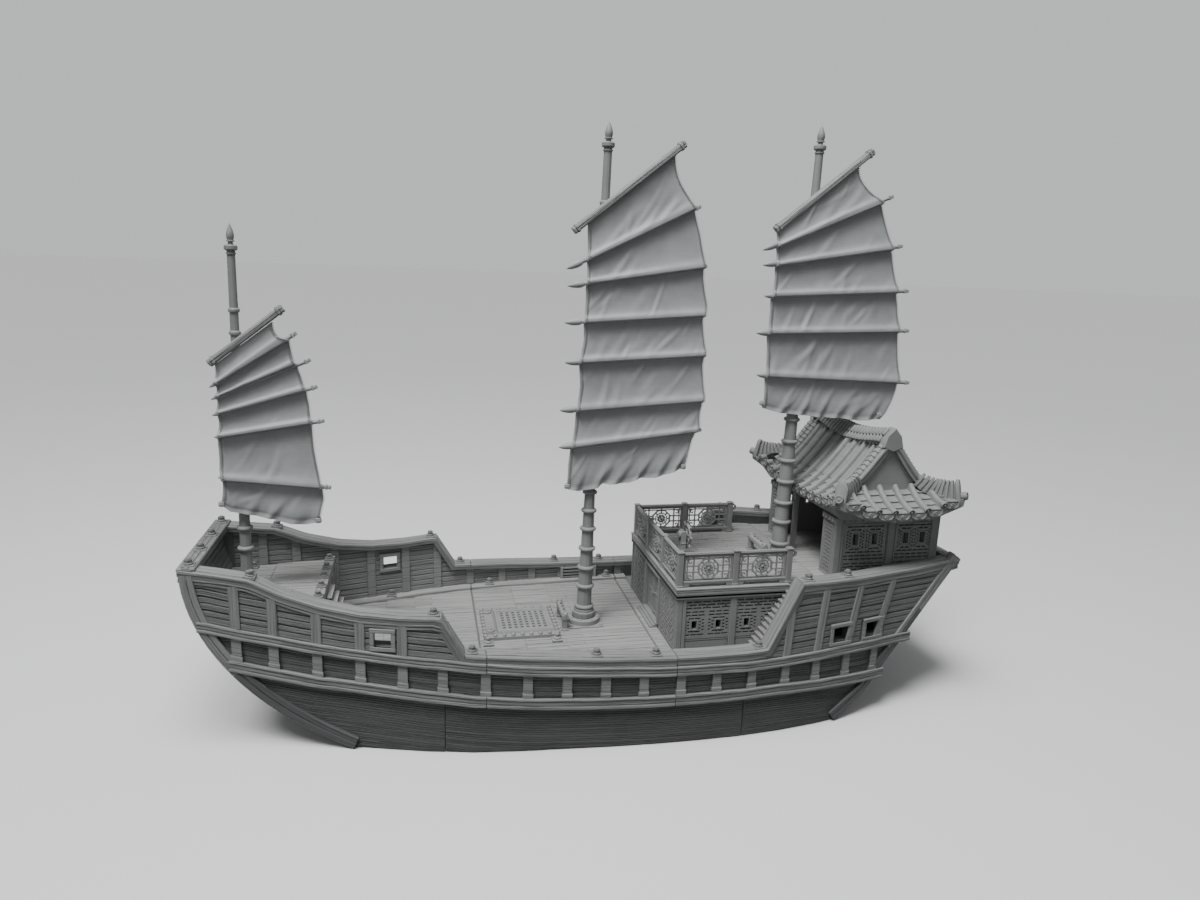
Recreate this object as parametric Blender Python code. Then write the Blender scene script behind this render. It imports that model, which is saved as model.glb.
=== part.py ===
"""Tabletop model of a three-masted Chinese junk, printed in grey plastic.

Millimetres are used in the tables and turned into metres where a mesh is made.
X runs forward to the bow, Y to port, Z up. The origin is the middle of the flat
hull bottom, on the surface that the model stands on.
"""
import math

import bmesh
import bpy
import numpy as np
from mathutils import Matrix, Vector

MM = 0.001
GAP = 0.3           # running gap between two pieces

# Hull form
BOW_TOP = (298.0, 132.5)
BOW_FOOT = (185.0, 0.0)
BOW_PULL_TOP = (298.0, 85.0)
BOW_PULL_FOOT = (262.0, 30.0)
BOW_STEPS = 9
STERN_TOP = (-297.5, 120.0)
STERN_KNEE = (-210.0, 20.0)
STERN_FOOT = (-182.0, 0.0)
DECK_Z = 52.5
SIDE_WALL = 7.0
END_WALL = 5.0
SPLIT_Z = 46.0
UPPER_SPLITS = (92.0, -45.0)
LOWER_SPLITS = (120.5, -100.0)
QUARTER_SPLIT_Z = 97.0

# Half breadth of the hull: x, y
BREADTH = [(298, 54), (255, 60.5), (207, 69.5), (162, 81), (107, 94.5), (13, 103), (-53, 105.5),
           (-113, 104), (-172, 96), (-228, 82), (-298, 65)]
STATION_STEP = 33.1

# Top of the bulwark: x, z, from bow to stern
SHEER = [(298, 132.5), (275, 129.5), (252, 126), (231, 116), (205, 108), (178, 103.5), (151, 102.5),
         (123, 103.5), (107, 76), (60, 73.5), (13, 71), (-31, 69.5), (-75, 69), (-116, 69.5),
         (-141.5, 119.5), (-195, 118), (-250, 118), (-297.5, 120)]
CAP_THICK = 4.0
STRAKE_THICK = 5.0

# Outer rails of the side: x, z of the upper edge
MAIN_WALE = [(285, 95.4), (260, 89.5), (219, 82), (192, 78), (151, 74.5), (124, 73), (54, 67), (-33, 63),
             (-111, 62), (-172, 64), (-241, 64)]
LOWER_RAIL = [(266, 66.5), (241, 61), (207, 55), (152, 50), (100, 45.5), (54, 42), (-19, 40), (-65, 40),
              (-129, 40.5), (-185, 38), (-219, 37)]
WALE_HIGH = 7.0
RAIL_HIGH = 8.0
RAIL_OUT = 3.5

# Ribs on the side: x
RIBS = [262.5, 237.5, 208, 178.5, 149.5, 122, 92.5, 63, 35, 7, -21, -49, -76.5, -104.5, -132.5,
        -159.5, -188, -216]
UPPER_BOW_RIBS = 5
STERN_LEAN = {-132.5: 1.5, -159.5: 4.0, -188: 8.0, -216: 13.0}
RIB_WIDE = 7.0
RIB_OUT = 2.2

# Masts: name, foot x, foot z, top z, rake in degrees, radius at distances up the mast, ring distances up the mast
MASTS = [
    ("fore", 265.4, 96.3, 349.0, 0.5, ((0, 4.6), (48, 3.9), (253, 2.7)), (11, 32, 48, 193, 209)),
    ("main", 3.5, 55.8, 434.0, 1.1, ((0, 6.4), (110, 4.2), (379, 3.1)), (11.5, 29.5, 45.5, 62, 79, 94.5, 110, 336)),
    ("mizzen", -168.4, 105.8, 442.7, 1.0, ((0, 6.9), (110, 5.0), (337, 3.1)), (10.5, 30, 47, 65.5, 84, 100.5, 119.5)),
]
MAST_SIDES = 10
RING_BULGE = 1.9
RING_BULGE_HIGH = 1.1
FINIAL_HIGH = 16.0

# Sails: the yard's ends and its gap to the mast, then rows of luff x, luff z, leech x, leech z and the batten's
# ends (x, z of the luff tip, x, z of the leech tip)
SAILS = {
    "fore": dict(
        yard=(281.0, 267.9, 230.0, 308.1),
        yard_gap=0.3,
        rows=[(276, 266.0, 238, 295.5, None),
              (277, 254, 227, 286, (282, 250.8, 221.4, 290.7)),
              (276.5, 245, 221, 269, (281.3, 242.2, 212.6, 271.5)),
              (276.5, 232.5, 215, 250, (281.4, 230.7, 208.6, 251.9)),
              (276.5, 215.5, 213, 225.5, (281.1, 214.6, 204.6, 226.7)),
              (277, 184, 207, 176.5, (280.2, 184.9, 201.4, 175.6)),
              (278, 164, 212, 149.5, None)]),
    "main": dict(
        yard=(22.1, 369.9, -61.1, 437.2),
        yard_gap=1.4,
        rows=[(10, 374.0, -54, 425.8, None),
              (10, 350, -72, 391, (26.6, 342.1, -76.7, 392.7)),
              (10, 332.3, -80, 347.5, (25.5, 329.6, -84.5, 348.2)),
              (11, 303.2, -85, 310.5, (27.1, 302.0, -86.1, 311.4)),
              (13, 272.4, -86, 279.0, (26.2, 271.5, -87.5, 279.1)),
              (16, 234.8, -87, 242.5, (29.2, 234.1, -88.2, 242.9)),
              (20, 205.5, -85, 217.5, (29.3, 204.6, -88.1, 218.2)),
              (21, 172, -74, 186.5, (24, 171.5, -79, 187.3))]),
    "mizzen": dict(
        yard=(-139.5, 377.8, -216.9, 441.4),
        yard_gap=0.3,
        rows=[(-142, 375.5, -206, 428.0, None),
              (-142.6, 366, -230, 403, (-129.9, 362.1, -238.5, 408.5)),
              (-142.6, 351.2, -244, 367.5, (-130.9, 350.7, -251.5, 370.1)),
              (-141.5, 327, -252, 333.5, (-133.8, 326.7, -261.6, 334.3)),
              (-140, 297.6, -256, 301.2, (-129.4, 297.3, -265.9, 301.6)),
              (-141, 263, -260, 258.6, (-132.2, 263.5, -271.7, 257.8)),
              (-140, 237, -246, 226.5, None)]),
}
SAIL_CLEAR = 0.5        # between the mast and the sail
SAIL_EDGE = 1.8
SAIL_VALLEY = 2.6
SAIL_BULGE = 6.5
BATTEN = 1.3
YARD_R = 2.6
SAIL_COLUMNS = (0.0, 0.12, 0.5, 0.88, 1.0)

# Castle under the quarterdeck
CASTLE_X = (-56.0, -147.0)
CASTLE_Y = 68.0
WALL = 4.5
CASTLE_TOP = 97.7
DOOR_Y = 19.0
DOOR_Z = (57.0, 95.0)
DOOR_THICK = 2.0
DOOR_EDGE = 18.2
DOOR_AXIS_Y = 17.4
CASTLE_WINDOWS = [-70.4, -90.2, -113.6]
CASTLE_WINDOW = (2.4, 71.0, 79.0)
QUARTER_Z = 105.5
QUARTER_Y = 70.0
STAIR_X = (-114.0, -146.5)
STAIR_TREADS = 13

# Cabin and roof
CABIN_X = (-186.0, -279.2)
CABIN_Y = 61.0
CABIN_TOP = 156.7
PIER_WIDE = 20.0
CABIN_WINDOWS = [-205, -222, -250, -265]
CABIN_WINDOW = (2.6, 131.0, 141.0)
ROOF_X = -228.0
ROOF_UNDER = 157.0
ROOF_HALF = 47.0
ROOF_CORNER_OUT = 7.0
ROOF_GABLE_Y = 60.0
ROOF_SIDE = 86.0
ROOF_EAVE_Z = 167.0
ROOF_TOP_Z = 218.0
ROOF_SKIRT_Z = 180.0
ROOF_CURVE = 1.35
EAVE_THICK = 8.5
CORNER_LIFT = 12.0

# Sections of the hipped roof: how far out on the slope, then y, how far down the skirt, share of the corner's lift
ROOF_SECTION = (1.0, 0.88, 0.76, 0.636, 0.4, 0.0)
ROOF_OVERHANG_Y = 70.0
ROOF_RINGS = [(ROOF_SIDE, 1.0, 1.0), (77, 0.75, 0.88), (69, 0.4, 0.75), (ROOF_GABLE_Y, 0.0, 0.62), (45, 0.0, 0.3),
              (25, 0.0, 0.15), (0, 0.0, 0.0)]

# Ridge: y, height
RIDGE = [(-60, 229), (-47, 227), (-28, 223.5), (0, 221), (28, 223.5), (47, 227), (60, 229)]
RIDGE_END = [(-8.6, 214), (-6.2, 223), (0, 229.5), (6.2, 223), (8.6, 214), (0, 210.5)]

# Gable bar and hip bar: u on the slope, y, share of the corner's lift, height over the tiles
GABLE_BAR = [(0.06, 60, 0.62, 8.0), (0.25, 60, 0.62, 9.5), (0.45, 60, 0.62, 9.0), (0.66, 60, 0.62, 8.0),
             (0.86, 60, 0.62, 7.0)]
HIP_BAR = [(0.74, 62, 0.64, 4.0), (0.88, 73, 0.81, 6.0), (1.0, 84, 0.98, 7.0)]
BAR_HALF = 3.6

# Railings: the posts' height and the panels
RAIL_POST = 5.0
RAIL_TOP = 134.0
RAIL_FRONT_X = -57.5
RAIL_SIDE_Y = 64.5
RAIL_SIDE_X = (-57.5, -102.5, -147.0)

# Bollards on the bulwark: x, and how far inside the hull's side
GUNWALE_BOLLARDS = [(252, 4), (128, 4), (101.6, 4.5), (13.3, 4.5), (-30.6, 4.5), (-111, 4), (-149, 4), (-185, 4)]
BOW_BOLLARDS_Y = (-49.3, -16.4, 16.4, 49.3)


def hermite(table, x):
    """Smooth curve through a table of (x, value) points whose x falls."""
    xs = [-p[0] for p in table]
    ys = [p[1] for p in table]
    u = min(max(-x, xs[0]), xs[-1])
    k = 0
    while k < len(xs) - 2 and u > xs[k + 1]:
        k += 1

    def slope(i):
        a = max(i - 1, 0)
        b = min(i + 1, len(xs) - 1)
        return (ys[b] - ys[a]) / (xs[b] - xs[a])

    h = xs[k + 1] - xs[k]
    t = (u - xs[k]) / h
    return ((2 * t**3 - 3 * t**2 + 1) * ys[k] + (t**3 - 2 * t**2 + t) * h * slope(k)
            + (3 * t**2 - 2 * t**3) * ys[k + 1] + (t**3 - t**2) * h * slope(k + 1))


STATIONS = np.arange(BOW_TOP[0] + 1, STERN_TOP[0] - STATION_STEP, -STATION_STEP)
STATION_Y = np.array([hermite(BREADTH, x) for x in STATIONS])


def side_y(x):
    """Half breadth of the faceted hull at x."""
    return float(np.interp(-x, -STATIONS, STATION_Y))


def height(table, x):
    return float(np.interp(-x, [-p[0] for p in table], [p[1] for p in table]))


def bow_curve(inset=0.0):
    """Side view of the bow, from foot to top, moved aft by inset."""
    points = []
    for k in range(BOW_STEPS + 1):
        t = k / BOW_STEPS
        w = ((1 - t)**3, 3 * (1 - t)**2 * t, 3 * (1 - t) * t**2, t**3)
        knots = (BOW_FOOT, BOW_PULL_FOOT, BOW_PULL_TOP, BOW_TOP)
        points.append((sum(a * p[0] for a, p in zip(w, knots)) - inset, sum(a * p[1] for a, p in zip(w, knots))))
    return points


def stern_x(z):
    """X of the raked transom at a height."""
    if z <= STERN_KNEE[1]:
        a, b = STERN_FOOT, STERN_KNEE
    else:
        a, b = STERN_KNEE, STERN_TOP
    return a[0] + (b[0] - a[0]) * (z - a[1]) / (b[1] - a[1])


def bow_x(z):
    points = bow_curve()
    return float(np.interp(z, [p[1] for p in points], [p[0] for p in points]))


def with_stations(path):
    """The path with a point at each of the hull's stations that it crosses."""
    out = [path[0]]
    for a, b in zip(path, path[1:]):
        between = [x for x in STATIONS if min(a[0], b[0]) + 2 < x < max(a[0], b[0]) - 2]
        for x in sorted(between, reverse=b[0] < a[0]):
            t = (x - a[0]) / (b[0] - a[0])
            out.append((float(x), a[1] + t * (b[1] - a[1])))
        out.append(b)
    return out


def solid(points, faces, triangles=False):
    """Closed mesh from points in millimetres."""
    bm = bmesh.new()
    verts = [bm.verts.new(Vector(p) * MM) for p in points]
    for face in faces:
        bm.faces.new([verts[i] for i in face])
    if triangles:
        bmesh.ops.triangulate(bm, faces=bm.faces)
        bmesh.ops.remove_doubles(bm, verts=bm.verts, dist=0.000001)
    bmesh.ops.recalc_face_normals(bm, faces=bm.faces)
    mesh = bpy.data.meshes.new("solid")
    bm.to_mesh(mesh)
    bm.free()
    return mesh


def loft(rings, triangles=False):
    """Closed solid through rings of equally many points."""
    n = len(rings[0])
    points = [p for ring in rings for p in ring]
    faces = [list(range(n)), list(range((len(rings) - 1) * n, len(rings) * n))[::-1]]
    for r in range(len(rings) - 1):
        for i in range(n):
            j = (i + 1) % n
            faces.append([r * n + i, (r + 1) * n + i, (r + 1) * n + j, r * n + j])
    return solid(points, faces, triangles)


def box(x0, x1, y0, y1, z0, z1):
    return loft([[(x, y0, z0), (x, y1, z0), (x, y1, z1), (x, y0, z1)] for x in (x0, x1)])


def plan_prism(outline, z0, z1):
    return loft([[(x, y, z) for x, y in outline] for z in (z0, z1)])


def side_prism(outline, y0, y1):
    return loft([[(x, y, z) for x, z in outline] for y in (y0, y1)])


def turned(profile, sides, axis_from, axis_to):
    """Solid of revolution from (distance along, radius) pairs along an axis."""
    start = Vector(axis_from)
    along = (Vector(axis_to) - start).normalized()
    turn = Vector((0, 0, 1)).rotation_difference(along).to_matrix()
    rings = []
    for d, r in profile:
        ring = []
        for k in range(sides):
            a = 2 * math.pi * (k + 0.5) / sides
            ring.append(start + turn @ Vector((r * math.cos(a), r * math.sin(a), d)))
        rings.append(ring)
    return loft(rings)


def moved(mesh, matrix):
    mesh.transform(matrix)
    return mesh


def mirrored(mesh):
    """The same solid on the starboard side."""
    copy = mesh.copy()
    copy.transform(Matrix.Scale(-1, 4, (0, 1, 0)))
    copy.flip_normals()
    return copy


def boolean(mesh, others, operation):
    """One mesh united with, cut by or limited to others."""
    if not others:
        return mesh
    base = bpy.data.objects.new("base", mesh)
    bpy.context.scene.collection.objects.link(base)
    group = bpy.data.collections.new("group")
    tools = []
    for other in others:
        tool = bpy.data.objects.new("tool", other)
        group.objects.link(tool)
        tools.append(tool)
    modifier = base.modifiers.new("Boolean", "BOOLEAN")
    modifier.operation = operation
    modifier.operand_type = "COLLECTION"
    modifier.collection = group
    modifier.solver = "EXACT"
    bpy.context.view_layer.update()
    evaluated = base.evaluated_get(bpy.context.evaluated_depsgraph_get())
    result = bpy.data.meshes.new_from_object(evaluated)
    for item in tools + [base]:
        bpy.data.objects.remove(item)
    bpy.data.collections.remove(group)
    return result


def unite(meshes):
    return boolean(meshes[0], meshes[1:], "UNION")


def cut(mesh, cutters):
    return boolean(mesh, cutters, "DIFFERENCE")


def common(mesh, other):
    return boolean(mesh, [other], "INTERSECT")


def tidy(mesh):
    """Joins points that lie on each other and drops needless edges of flat faces."""
    bm = bmesh.new()
    bm.from_mesh(mesh)
    bmesh.ops.remove_doubles(bm, verts=bm.verts, dist=0.000001)
    bmesh.ops.dissolve_limit(bm, angle_limit=math.radians(0.4), verts=bm.verts, edges=bm.edges)
    bmesh.ops.triangulate(bm, faces=bm.faces)
    bm.to_mesh(mesh)
    bm.free()
    return mesh


MATERIALS = {
    # name: colour, roughness
    "hull_plastic": ((0.23, 0.235, 0.24), 0.55),
    "deck_plastic": ((0.27, 0.275, 0.275), 0.6),
    "mast_plastic": ((0.2, 0.21, 0.22), 0.5),
    "sail_plastic": ((0.25, 0.265, 0.28), 0.5),
    "roof_plastic": ((0.24, 0.25, 0.255), 0.55),
    "trim_plastic": ((0.22, 0.225, 0.23), 0.55),
}


def add_piece(name, mesh, material, parent=None):
    """Names a node, gives it its own material and hangs it on its joint's empty."""
    colour, rough = MATERIALS[material]
    mat = bpy.data.materials.new(name + "_" + material)
    mat.use_nodes = True
    shader = mat.node_tree.nodes["Principled BSDF"]
    shader.inputs["Base Color"].default_value = (*colour, 1)
    shader.inputs["Roughness"].default_value = rough
    shader.inputs["Metallic"].default_value = 0.0
    tidy(mesh)
    mesh.materials.clear()
    mesh.materials.append(mat)
    mesh.name = name
    piece = bpy.data.objects.new(name, mesh)
    bpy.context.scene.collection.objects.link(piece)
    if parent is not None:
        mesh.transform(parent.matrix_world.inverted())
        piece.parent = parent
    return piece


def joint_empty(name, place, rotation=(0, 0, 0)):
    empty = bpy.data.objects.new(name, None)
    empty.location = Vector(place) * MM
    empty.rotation_euler = rotation
    bpy.context.scene.collection.objects.link(empty)
    bpy.context.view_layer.update()
    return empty


def ribbon(path, thick, inner, outer, side):
    """Bar along a path of (x, z) on the hull's side; thick is measured to the left of the path."""
    pts = np.array(path, float)
    steps = np.diff(pts, axis=0)
    steps /= np.linalg.norm(steps, axis=1)[:, None]
    normals = np.stack([-steps[:, 1], steps[:, 0]], axis=1)
    rings = []
    for k, p in enumerate(pts):
        a = normals[max(k - 1, 0)]
        b = normals[min(k, len(normals) - 1)]
        n = (a + b) / np.linalg.norm(a + b)
        q = p + n * thick / max(float(n @ a), 0.5)
        ring = []
        for x, z, out in ((p[0], p[1], inner), (p[0], p[1], outer), (q[0], q[1], outer), (q[0], q[1], inner)):
            ring.append((x, side * (side_y(x) + out), z))
        rings.append(ring)
    return loft(rings, triangles=True)


def bollard(x, y, z, size=1.0):
    """Mushroom head on a stem and a square foot plate."""
    half = 4.0 * size
    plate = box(x - half, x + half, y - half, y + half, z - 0.5, z + 1.2)
    head = turned([(0, 2.4 * size), (4.0, 2.8 * size)], 6, (x, y, z + 0.9), (x, y, z + 2))
    return [plate, head]


def hull_outline(inset, x0=BOW_TOP[0] + 1, x1=STERN_TOP[0] - 1):
    """Plan of the hull between two x, moved in by inset."""
    xs = [x0] + [x for x in STATIONS if x1 + 2 < x < x0 - 2] + [x1]
    port = [(x, side_y(x) - inset) for x in xs]
    return port + [(x, -y) for x, y in reversed(port)]


def sheer_profile(drop=0.0):
    return [(x, z - drop) for x, z in SHEER]


def hull_body():
    """The whole hull before it is split into its printed sections."""
    outline = bow_curve() + sheer_profile(CAP_THICK - 0.5)[1:-1]
    outline[BOW_STEPS] = (BOW_TOP[0], BOW_TOP[1] - 3.5)
    outline += [(STERN_TOP[0] + 3, STERN_TOP[1] - 3.5), STERN_KNEE, STERN_FOOT]
    body = common(plan_prism(hull_outline(0), -5, 150), side_prism(outline, -130, 130))
    inner_top = 160.0
    inner = [(x, z) for x, z in bow_curve(END_WALL) if z > DECK_Z]
    inner = [(bow_x(DECK_Z) - END_WALL, DECK_Z)] + inner + [(BOW_TOP[0] - END_WALL, inner_top)]
    inner += [(stern_x(inner_top) + END_WALL, inner_top), (stern_x(DECK_Z) + END_WALL, DECK_Z)]
    well = common(plan_prism(hull_outline(SIDE_WALL), DECK_Z, 150), side_prism(inner, -120, 120))
    body = cut(body, [well])
    extras = []
    band_path = bow_curve()
    stern_path = [STERN_TOP, (stern_x(70), 70.0), STERN_KNEE, STERN_FOOT]
    sheer = with_stations(sheer_profile())
    for side in (1, -1):
        extras.append(ribbon(sheer, CAP_THICK, -11.5, 3.0, side))
        extras.append(ribbon(with_stations(sheer_profile(CAP_THICK - 0.5)), STRAKE_THICK, -4, 1.8, side))
        extras.append(ribbon(with_stations(MAIN_WALE), WALE_HIGH, -3, RAIL_OUT, side))
        extras.append(ribbon(with_stations(LOWER_RAIL), RAIL_HIGH, -3, RAIL_OUT, side))
        extras.append(ribbon(band_path, 9.5, -4, 2.6, side))
        extras.append(ribbon(stern_path, 8.5, -4, 2.6, side))
        extras += side_ribs(side)
        extras += window_frames(side)
        for x, inset in GUNWALE_BOLLARDS:
            extras += bollard(x, side * (side_y(x) - inset), height(SHEER, x))
    extras.append(box(BOW_TOP[0] - 11, BOW_TOP[0] + 0.5, -57, 57, BOW_TOP[1] - 4, BOW_TOP[1] + 0.8))
    extras.append(box(STERN_TOP[0] - 0.5, STERN_TOP[0] + 9, -67, 67, STERN_TOP[1] - 4.5, STERN_TOP[1] + 0.6))
    for y in BOW_BOLLARDS_Y:
        extras += bollard(BOW_TOP[0] - 5.5, y, BOW_TOP[1] + 0.8)
    body = unite([body] + extras)
    holes = []
    for x0, x1, z0, z1 in hull_windows():
        holes.append(box(x0, x1, -130, 130, z0, z1))
    return cut(body, holes)


def side_ribs(side):
    """Upright ribs outside, in two tiers at the bow and the stern, and inside the bulwark."""
    ribs = []
    for k, x in enumerate(RIBS):
        x0 = x - RIB_WIDE / 2
        x1 = x + RIB_WIDE / 2
        tiers = [(height(LOWER_RAIL, x) - 2, height(MAIN_WALE, x) - 3)]
        if k < UPPER_BOW_RIBS or x < -125:
            tiers.append((height(MAIN_WALE, x) - 3, height(SHEER, x) - CAP_THICK - 2))
        for z0, z1 in tiers:
            lean = STERN_LEAN.get(x, 0.0) if z1 > 90 else 0.0
            ribs.append(upright(x0, x1, z0, z1, -2, RIB_OUT, side, lean))
        if x > -60:
            ribs.append(upright(x0, x1, DECK_Z - 2, height(SHEER, x) - 3, -SIDE_WALL - 1.8, -SIDE_WALL + 2, side))
    return ribs


def upright(x0, x1, z0, z1, inner, outer, side, lean=0.0):
    """Post between two x that follows the hull's side; its top leans aft by lean."""
    rings = []
    for x in (x0, x1):
        ring = []
        for shift, out, z in ((0, inner, z0), (0, outer, z0), (lean, outer, z1), (lean, inner, z1)):
            ring.append((x - shift, side * (side_y(x - shift) + out), z))
        rings.append(ring)
    return loft(rings, triangles=True)


def hull_windows():
    """Openings through the side: x0, x1, z0, z1."""
    return [(157.3, 168.7, 80.1, 90.7), (-187.5, -173.5, 68.0, 80.0), (-219.5, -205.0, 67.5, 79.5)]


def window_frames(side):
    frames = []
    for x0, x1, z0, z1 in hull_windows():
        frames.append(upright(x0 - 3, x1 + 3, z0 - 3, z1 + 3, -2, 2.6, side))
    return frames


def build_hull():
    body = hull_body()
    big = 400.0
    half_gap = GAP / 2
    upper = [big, UPPER_SPLITS[0], UPPER_SPLITS[1], -big]
    lower = [big, LOWER_SPLITS[0], LOWER_SPLITS[1], -big]
    names = ("bow", "mid", "stern")
    for k, name in enumerate(names):
        piece = common(body.copy(), box(lower[k + 1] + half_gap, lower[k] - half_gap, -150, 150, -10,
                                        SPLIT_Z - half_gap))
        add_piece("lower_hull_" + name, piece, "hull_plastic")
        top = QUARTER_SPLIT_Z - half_gap if name == "stern" else 200
        piece = common(body.copy(), box(upper[k + 1] + half_gap, upper[k] - half_gap, -150, 150,
                                        SPLIT_Z + half_gap, top))
        if name != "stern":
            piece = unite([piece] + deck_margin(upper[k + 1] + half_gap, min(upper[k] - half_gap, 200.0)))
        add_piece("upper_hull_" + name, piece, "hull_plastic")
    piece = common(body, box(-big, UPPER_SPLITS[1], -150, 150, QUARTER_SPLIT_Z + half_gap, 200))
    cabin_room = CABIN_Y + 0.8 + GAP
    piece = cut(piece, [box(CABIN_X[1] - GAP, CABIN_X[0], -cabin_room, cabin_room, QUARTER_Z, 200)])
    add_piece("stern_bulwark", piece, "hull_plastic")


def deck_margin(x0, x1):
    """Low ledge along the foot of the bulwark."""
    ledges = []
    path = with_stations([(x1, DECK_Z + 3), (x0, DECK_Z + 3)])
    for side in (1, -1):
        ledges.append(ribbon(path, 4.5, -SIDE_WALL - 9, -SIDE_WALL + 2, side))
        for x in (75.0, 162.0, -37.0):
            if x0 + 6 < x < x1 - 6:
                ledges += bollard(x, side * (side_y(x) - SIDE_WALL - 4.6), DECK_Z + 3)
    return ledges


FOREDECK_X = 209.0
FOREDECK_Z = 95.5


def build_foredeck():
    """Raised deck in the bow with its bulkhead, edge beam and steps."""
    clear = SIDE_WALL + 2.2
    plan = plan_prism(hull_outline(clear, BOW_TOP[0] - 2, FOREDECK_X), DECK_Z + GAP, FOREDECK_Z)
    front = END_WALL + GAP
    profile = [(x, z) for x, z in bow_curve(front) if z > DECK_Z]
    profile = [(bow_x(DECK_Z - 2) - front, DECK_Z - 2)] + profile + [(BOW_TOP[0] - front, 140), (FOREDECK_X - 5, 140),
                                                                      (FOREDECK_X - 5, DECK_Z - 2)]
    deck = common(plan, side_prism(profile, -120, 120))
    beam_y = side_y(FOREDECK_X) - clear - 0.5
    pieces = [deck, box(FOREDECK_X - 1.5, FOREDECK_X + 5.5, -beam_y, beam_y, FOREDECK_Z - 4, FOREDECK_Z + 2.5)]
    for y in (-50, -30, -10, 10, 30, 50):
        pieces += bollard(FOREDECK_X + 2, y, FOREDECK_Z + 2.5, 0.85)
    for side in (1, -1):
        pieces += bollard(FOREDECK_X + 60, side * 44, FOREDECK_Z, 0.85)
    add_piece("foredeck", unite(pieces), "deck_plastic")
    treads = 7
    rise = (FOREDECK_Z - DECK_Z - GAP) / (treads + 1)
    run = 3.2
    outline = [(FOREDECK_X - 1.5 - GAP, DECK_Z + GAP)]
    for k in range(treads):
        z = DECK_Z + GAP + rise * (treads - k)
        outline += [(FOREDECK_X - 1.5 - GAP - run * k, z), (FOREDECK_X - 1.5 - GAP - run * (k + 1), z)]
    outline.append((FOREDECK_X - 1.5 - GAP - run * treads, DECK_Z + GAP))
    add_piece("foredeck_steps", side_prism(outline, -13, 13), "deck_plastic")


HATCH_X = (88.5, 27.0)
HATCH_Y = 27.5
HATCH_WELL_X = (74.4, 34.2)
HATCH_WELL_Y = 17.6
HATCH_FRAME = (3.7, 4.6)        # width of the raised frame round the well, along and across
HATCH_BOARD_X = (85.8, 78.6)
HATCH_BOARD_Y = 21.8
HATCH_CLEAT = (82.4, 18.0)
GRATING_HOLES = (8, 7)
GRATING_HOLE = 0.23             # half a hole's width as a share of the pitch


def build_hatch():
    """Cargo hatch: a base with a raised frame round the grating, and a board with two cleats."""
    z0 = DECK_Z + GAP
    x1, x0 = HATCH_X
    w1, w0 = HATCH_WELL_X
    wide, deep = HATCH_FRAME
    frame_y = HATCH_WELL_Y + deep
    pieces = [box(x0, x1, -HATCH_Y, HATCH_Y, z0, z0 + 3.4),
              box(w0 - wide, w1 + wide, -frame_y, frame_y, z0, z0 + 5.4),
              box(HATCH_BOARD_X[1], HATCH_BOARD_X[0], -HATCH_BOARD_Y, HATCH_BOARD_Y, z0, z0 + 4.6)]
    well = box(w0 - GAP, w1 + GAP, -HATCH_WELL_Y - GAP, HATCH_WELL_Y + GAP, z0 + 1.5, z0 + 9)
    cleat_x, cleat_y = HATCH_CLEAT
    for y in (-cleat_y, cleat_y):
        pieces.append(turned([(0, 3.4), (1.6, 3.4), (2.4, 1.8)], 8, (cleat_x, y, z0 + 4.3), (cleat_x, y, z0 + 9)))
    add_piece("hatch_coaming", cut(unite(pieces), [well]), "trim_plastic")
    grating = box(w0, w1, -HATCH_WELL_Y, HATCH_WELL_Y, z0 + 1.5 + GAP, z0 + 4.9)
    along, across = GRATING_HOLES
    pitch_x = (w1 - w0) / (along + 0.35)
    pitch_y = 2 * HATCH_WELL_Y / (across + 0.35)
    holes = []
    for i in range(along):
        for j in range(across):
            x = w0 + pitch_x * (i + 0.675)
            y = -HATCH_WELL_Y + pitch_y * (j + 0.675)
            holes.append(box(x - pitch_x * GRATING_HOLE, x + pitch_x * GRATING_HOLE,
                             y - pitch_y * GRATING_HOLE, y + pitch_y * GRATING_HOLE, z0, z0 + 9))
    add_piece("hatch_grating", cut(grating, holes), "trim_plastic")
    for name, x in (("fore", 85.6), ("aft", 31.0)):
        add_piece("hatch_bollard_" + name, unite(bollard(x, HATCH_Y + 5.2, z0 + 0.5)), "trim_plastic")


def build_mast_steps():
    """Round flange on a square plate that holds the main mast."""
    x, z = MASTS[1][1], DECK_Z + GAP
    socket_r = MASTS[1][5][0][1] + 3.0
    half = 14.6
    corner = 12.3
    plate = box(x - half, x + half, -half, half, z, z + 1.4)
    ring = turned([(0, 13), (3.0, 13), (3.0 - 0.01, 12.5)], 16, (x, 0, z + 1), (x, 0, z + 5))
    bolts = [plate, ring]
    for sx in (-1, 1):
        for sy in (-1, 1):
            bolts.append(turned([(0, 1.4), (1.4, 1.4), (2.0, 0.8)], 6, (x + sx * corner, sy * corner, z + 1),
                                (x + sx * corner, sy * corner, z + 9)))
    socket = turned([(0, socket_r), (8, socket_r)], 16, (x, 0, z + 2.5), (x, 0, z + 9))
    add_piece("main_mast_step", cut(unite(bolts), [socket]), "trim_plastic")


def fife_rail(name, x, z):
    """Beam across the deck on two posts."""
    pieces = [box(x - 2.6, x + 2.6, -17, 17, z + 9.6, z + 14)]
    for side in (1, -1):
        pieces.append(box(x - 2.2, x + 2.2, side * 14 - 2.4, side * 14 + 2.4, z, z + 10.5))
        pieces.append(box(x - 3.2, x + 3.2, side * 14 - 3.2, side * 14 + 3.2, z, z + 1.6))
    add_piece(name, unite(pieces), "trim_plastic")


def mast_radius(taper, d):
    return float(np.interp(d, [p[0] for p in taper], [p[1] for p in taper]))


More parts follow.
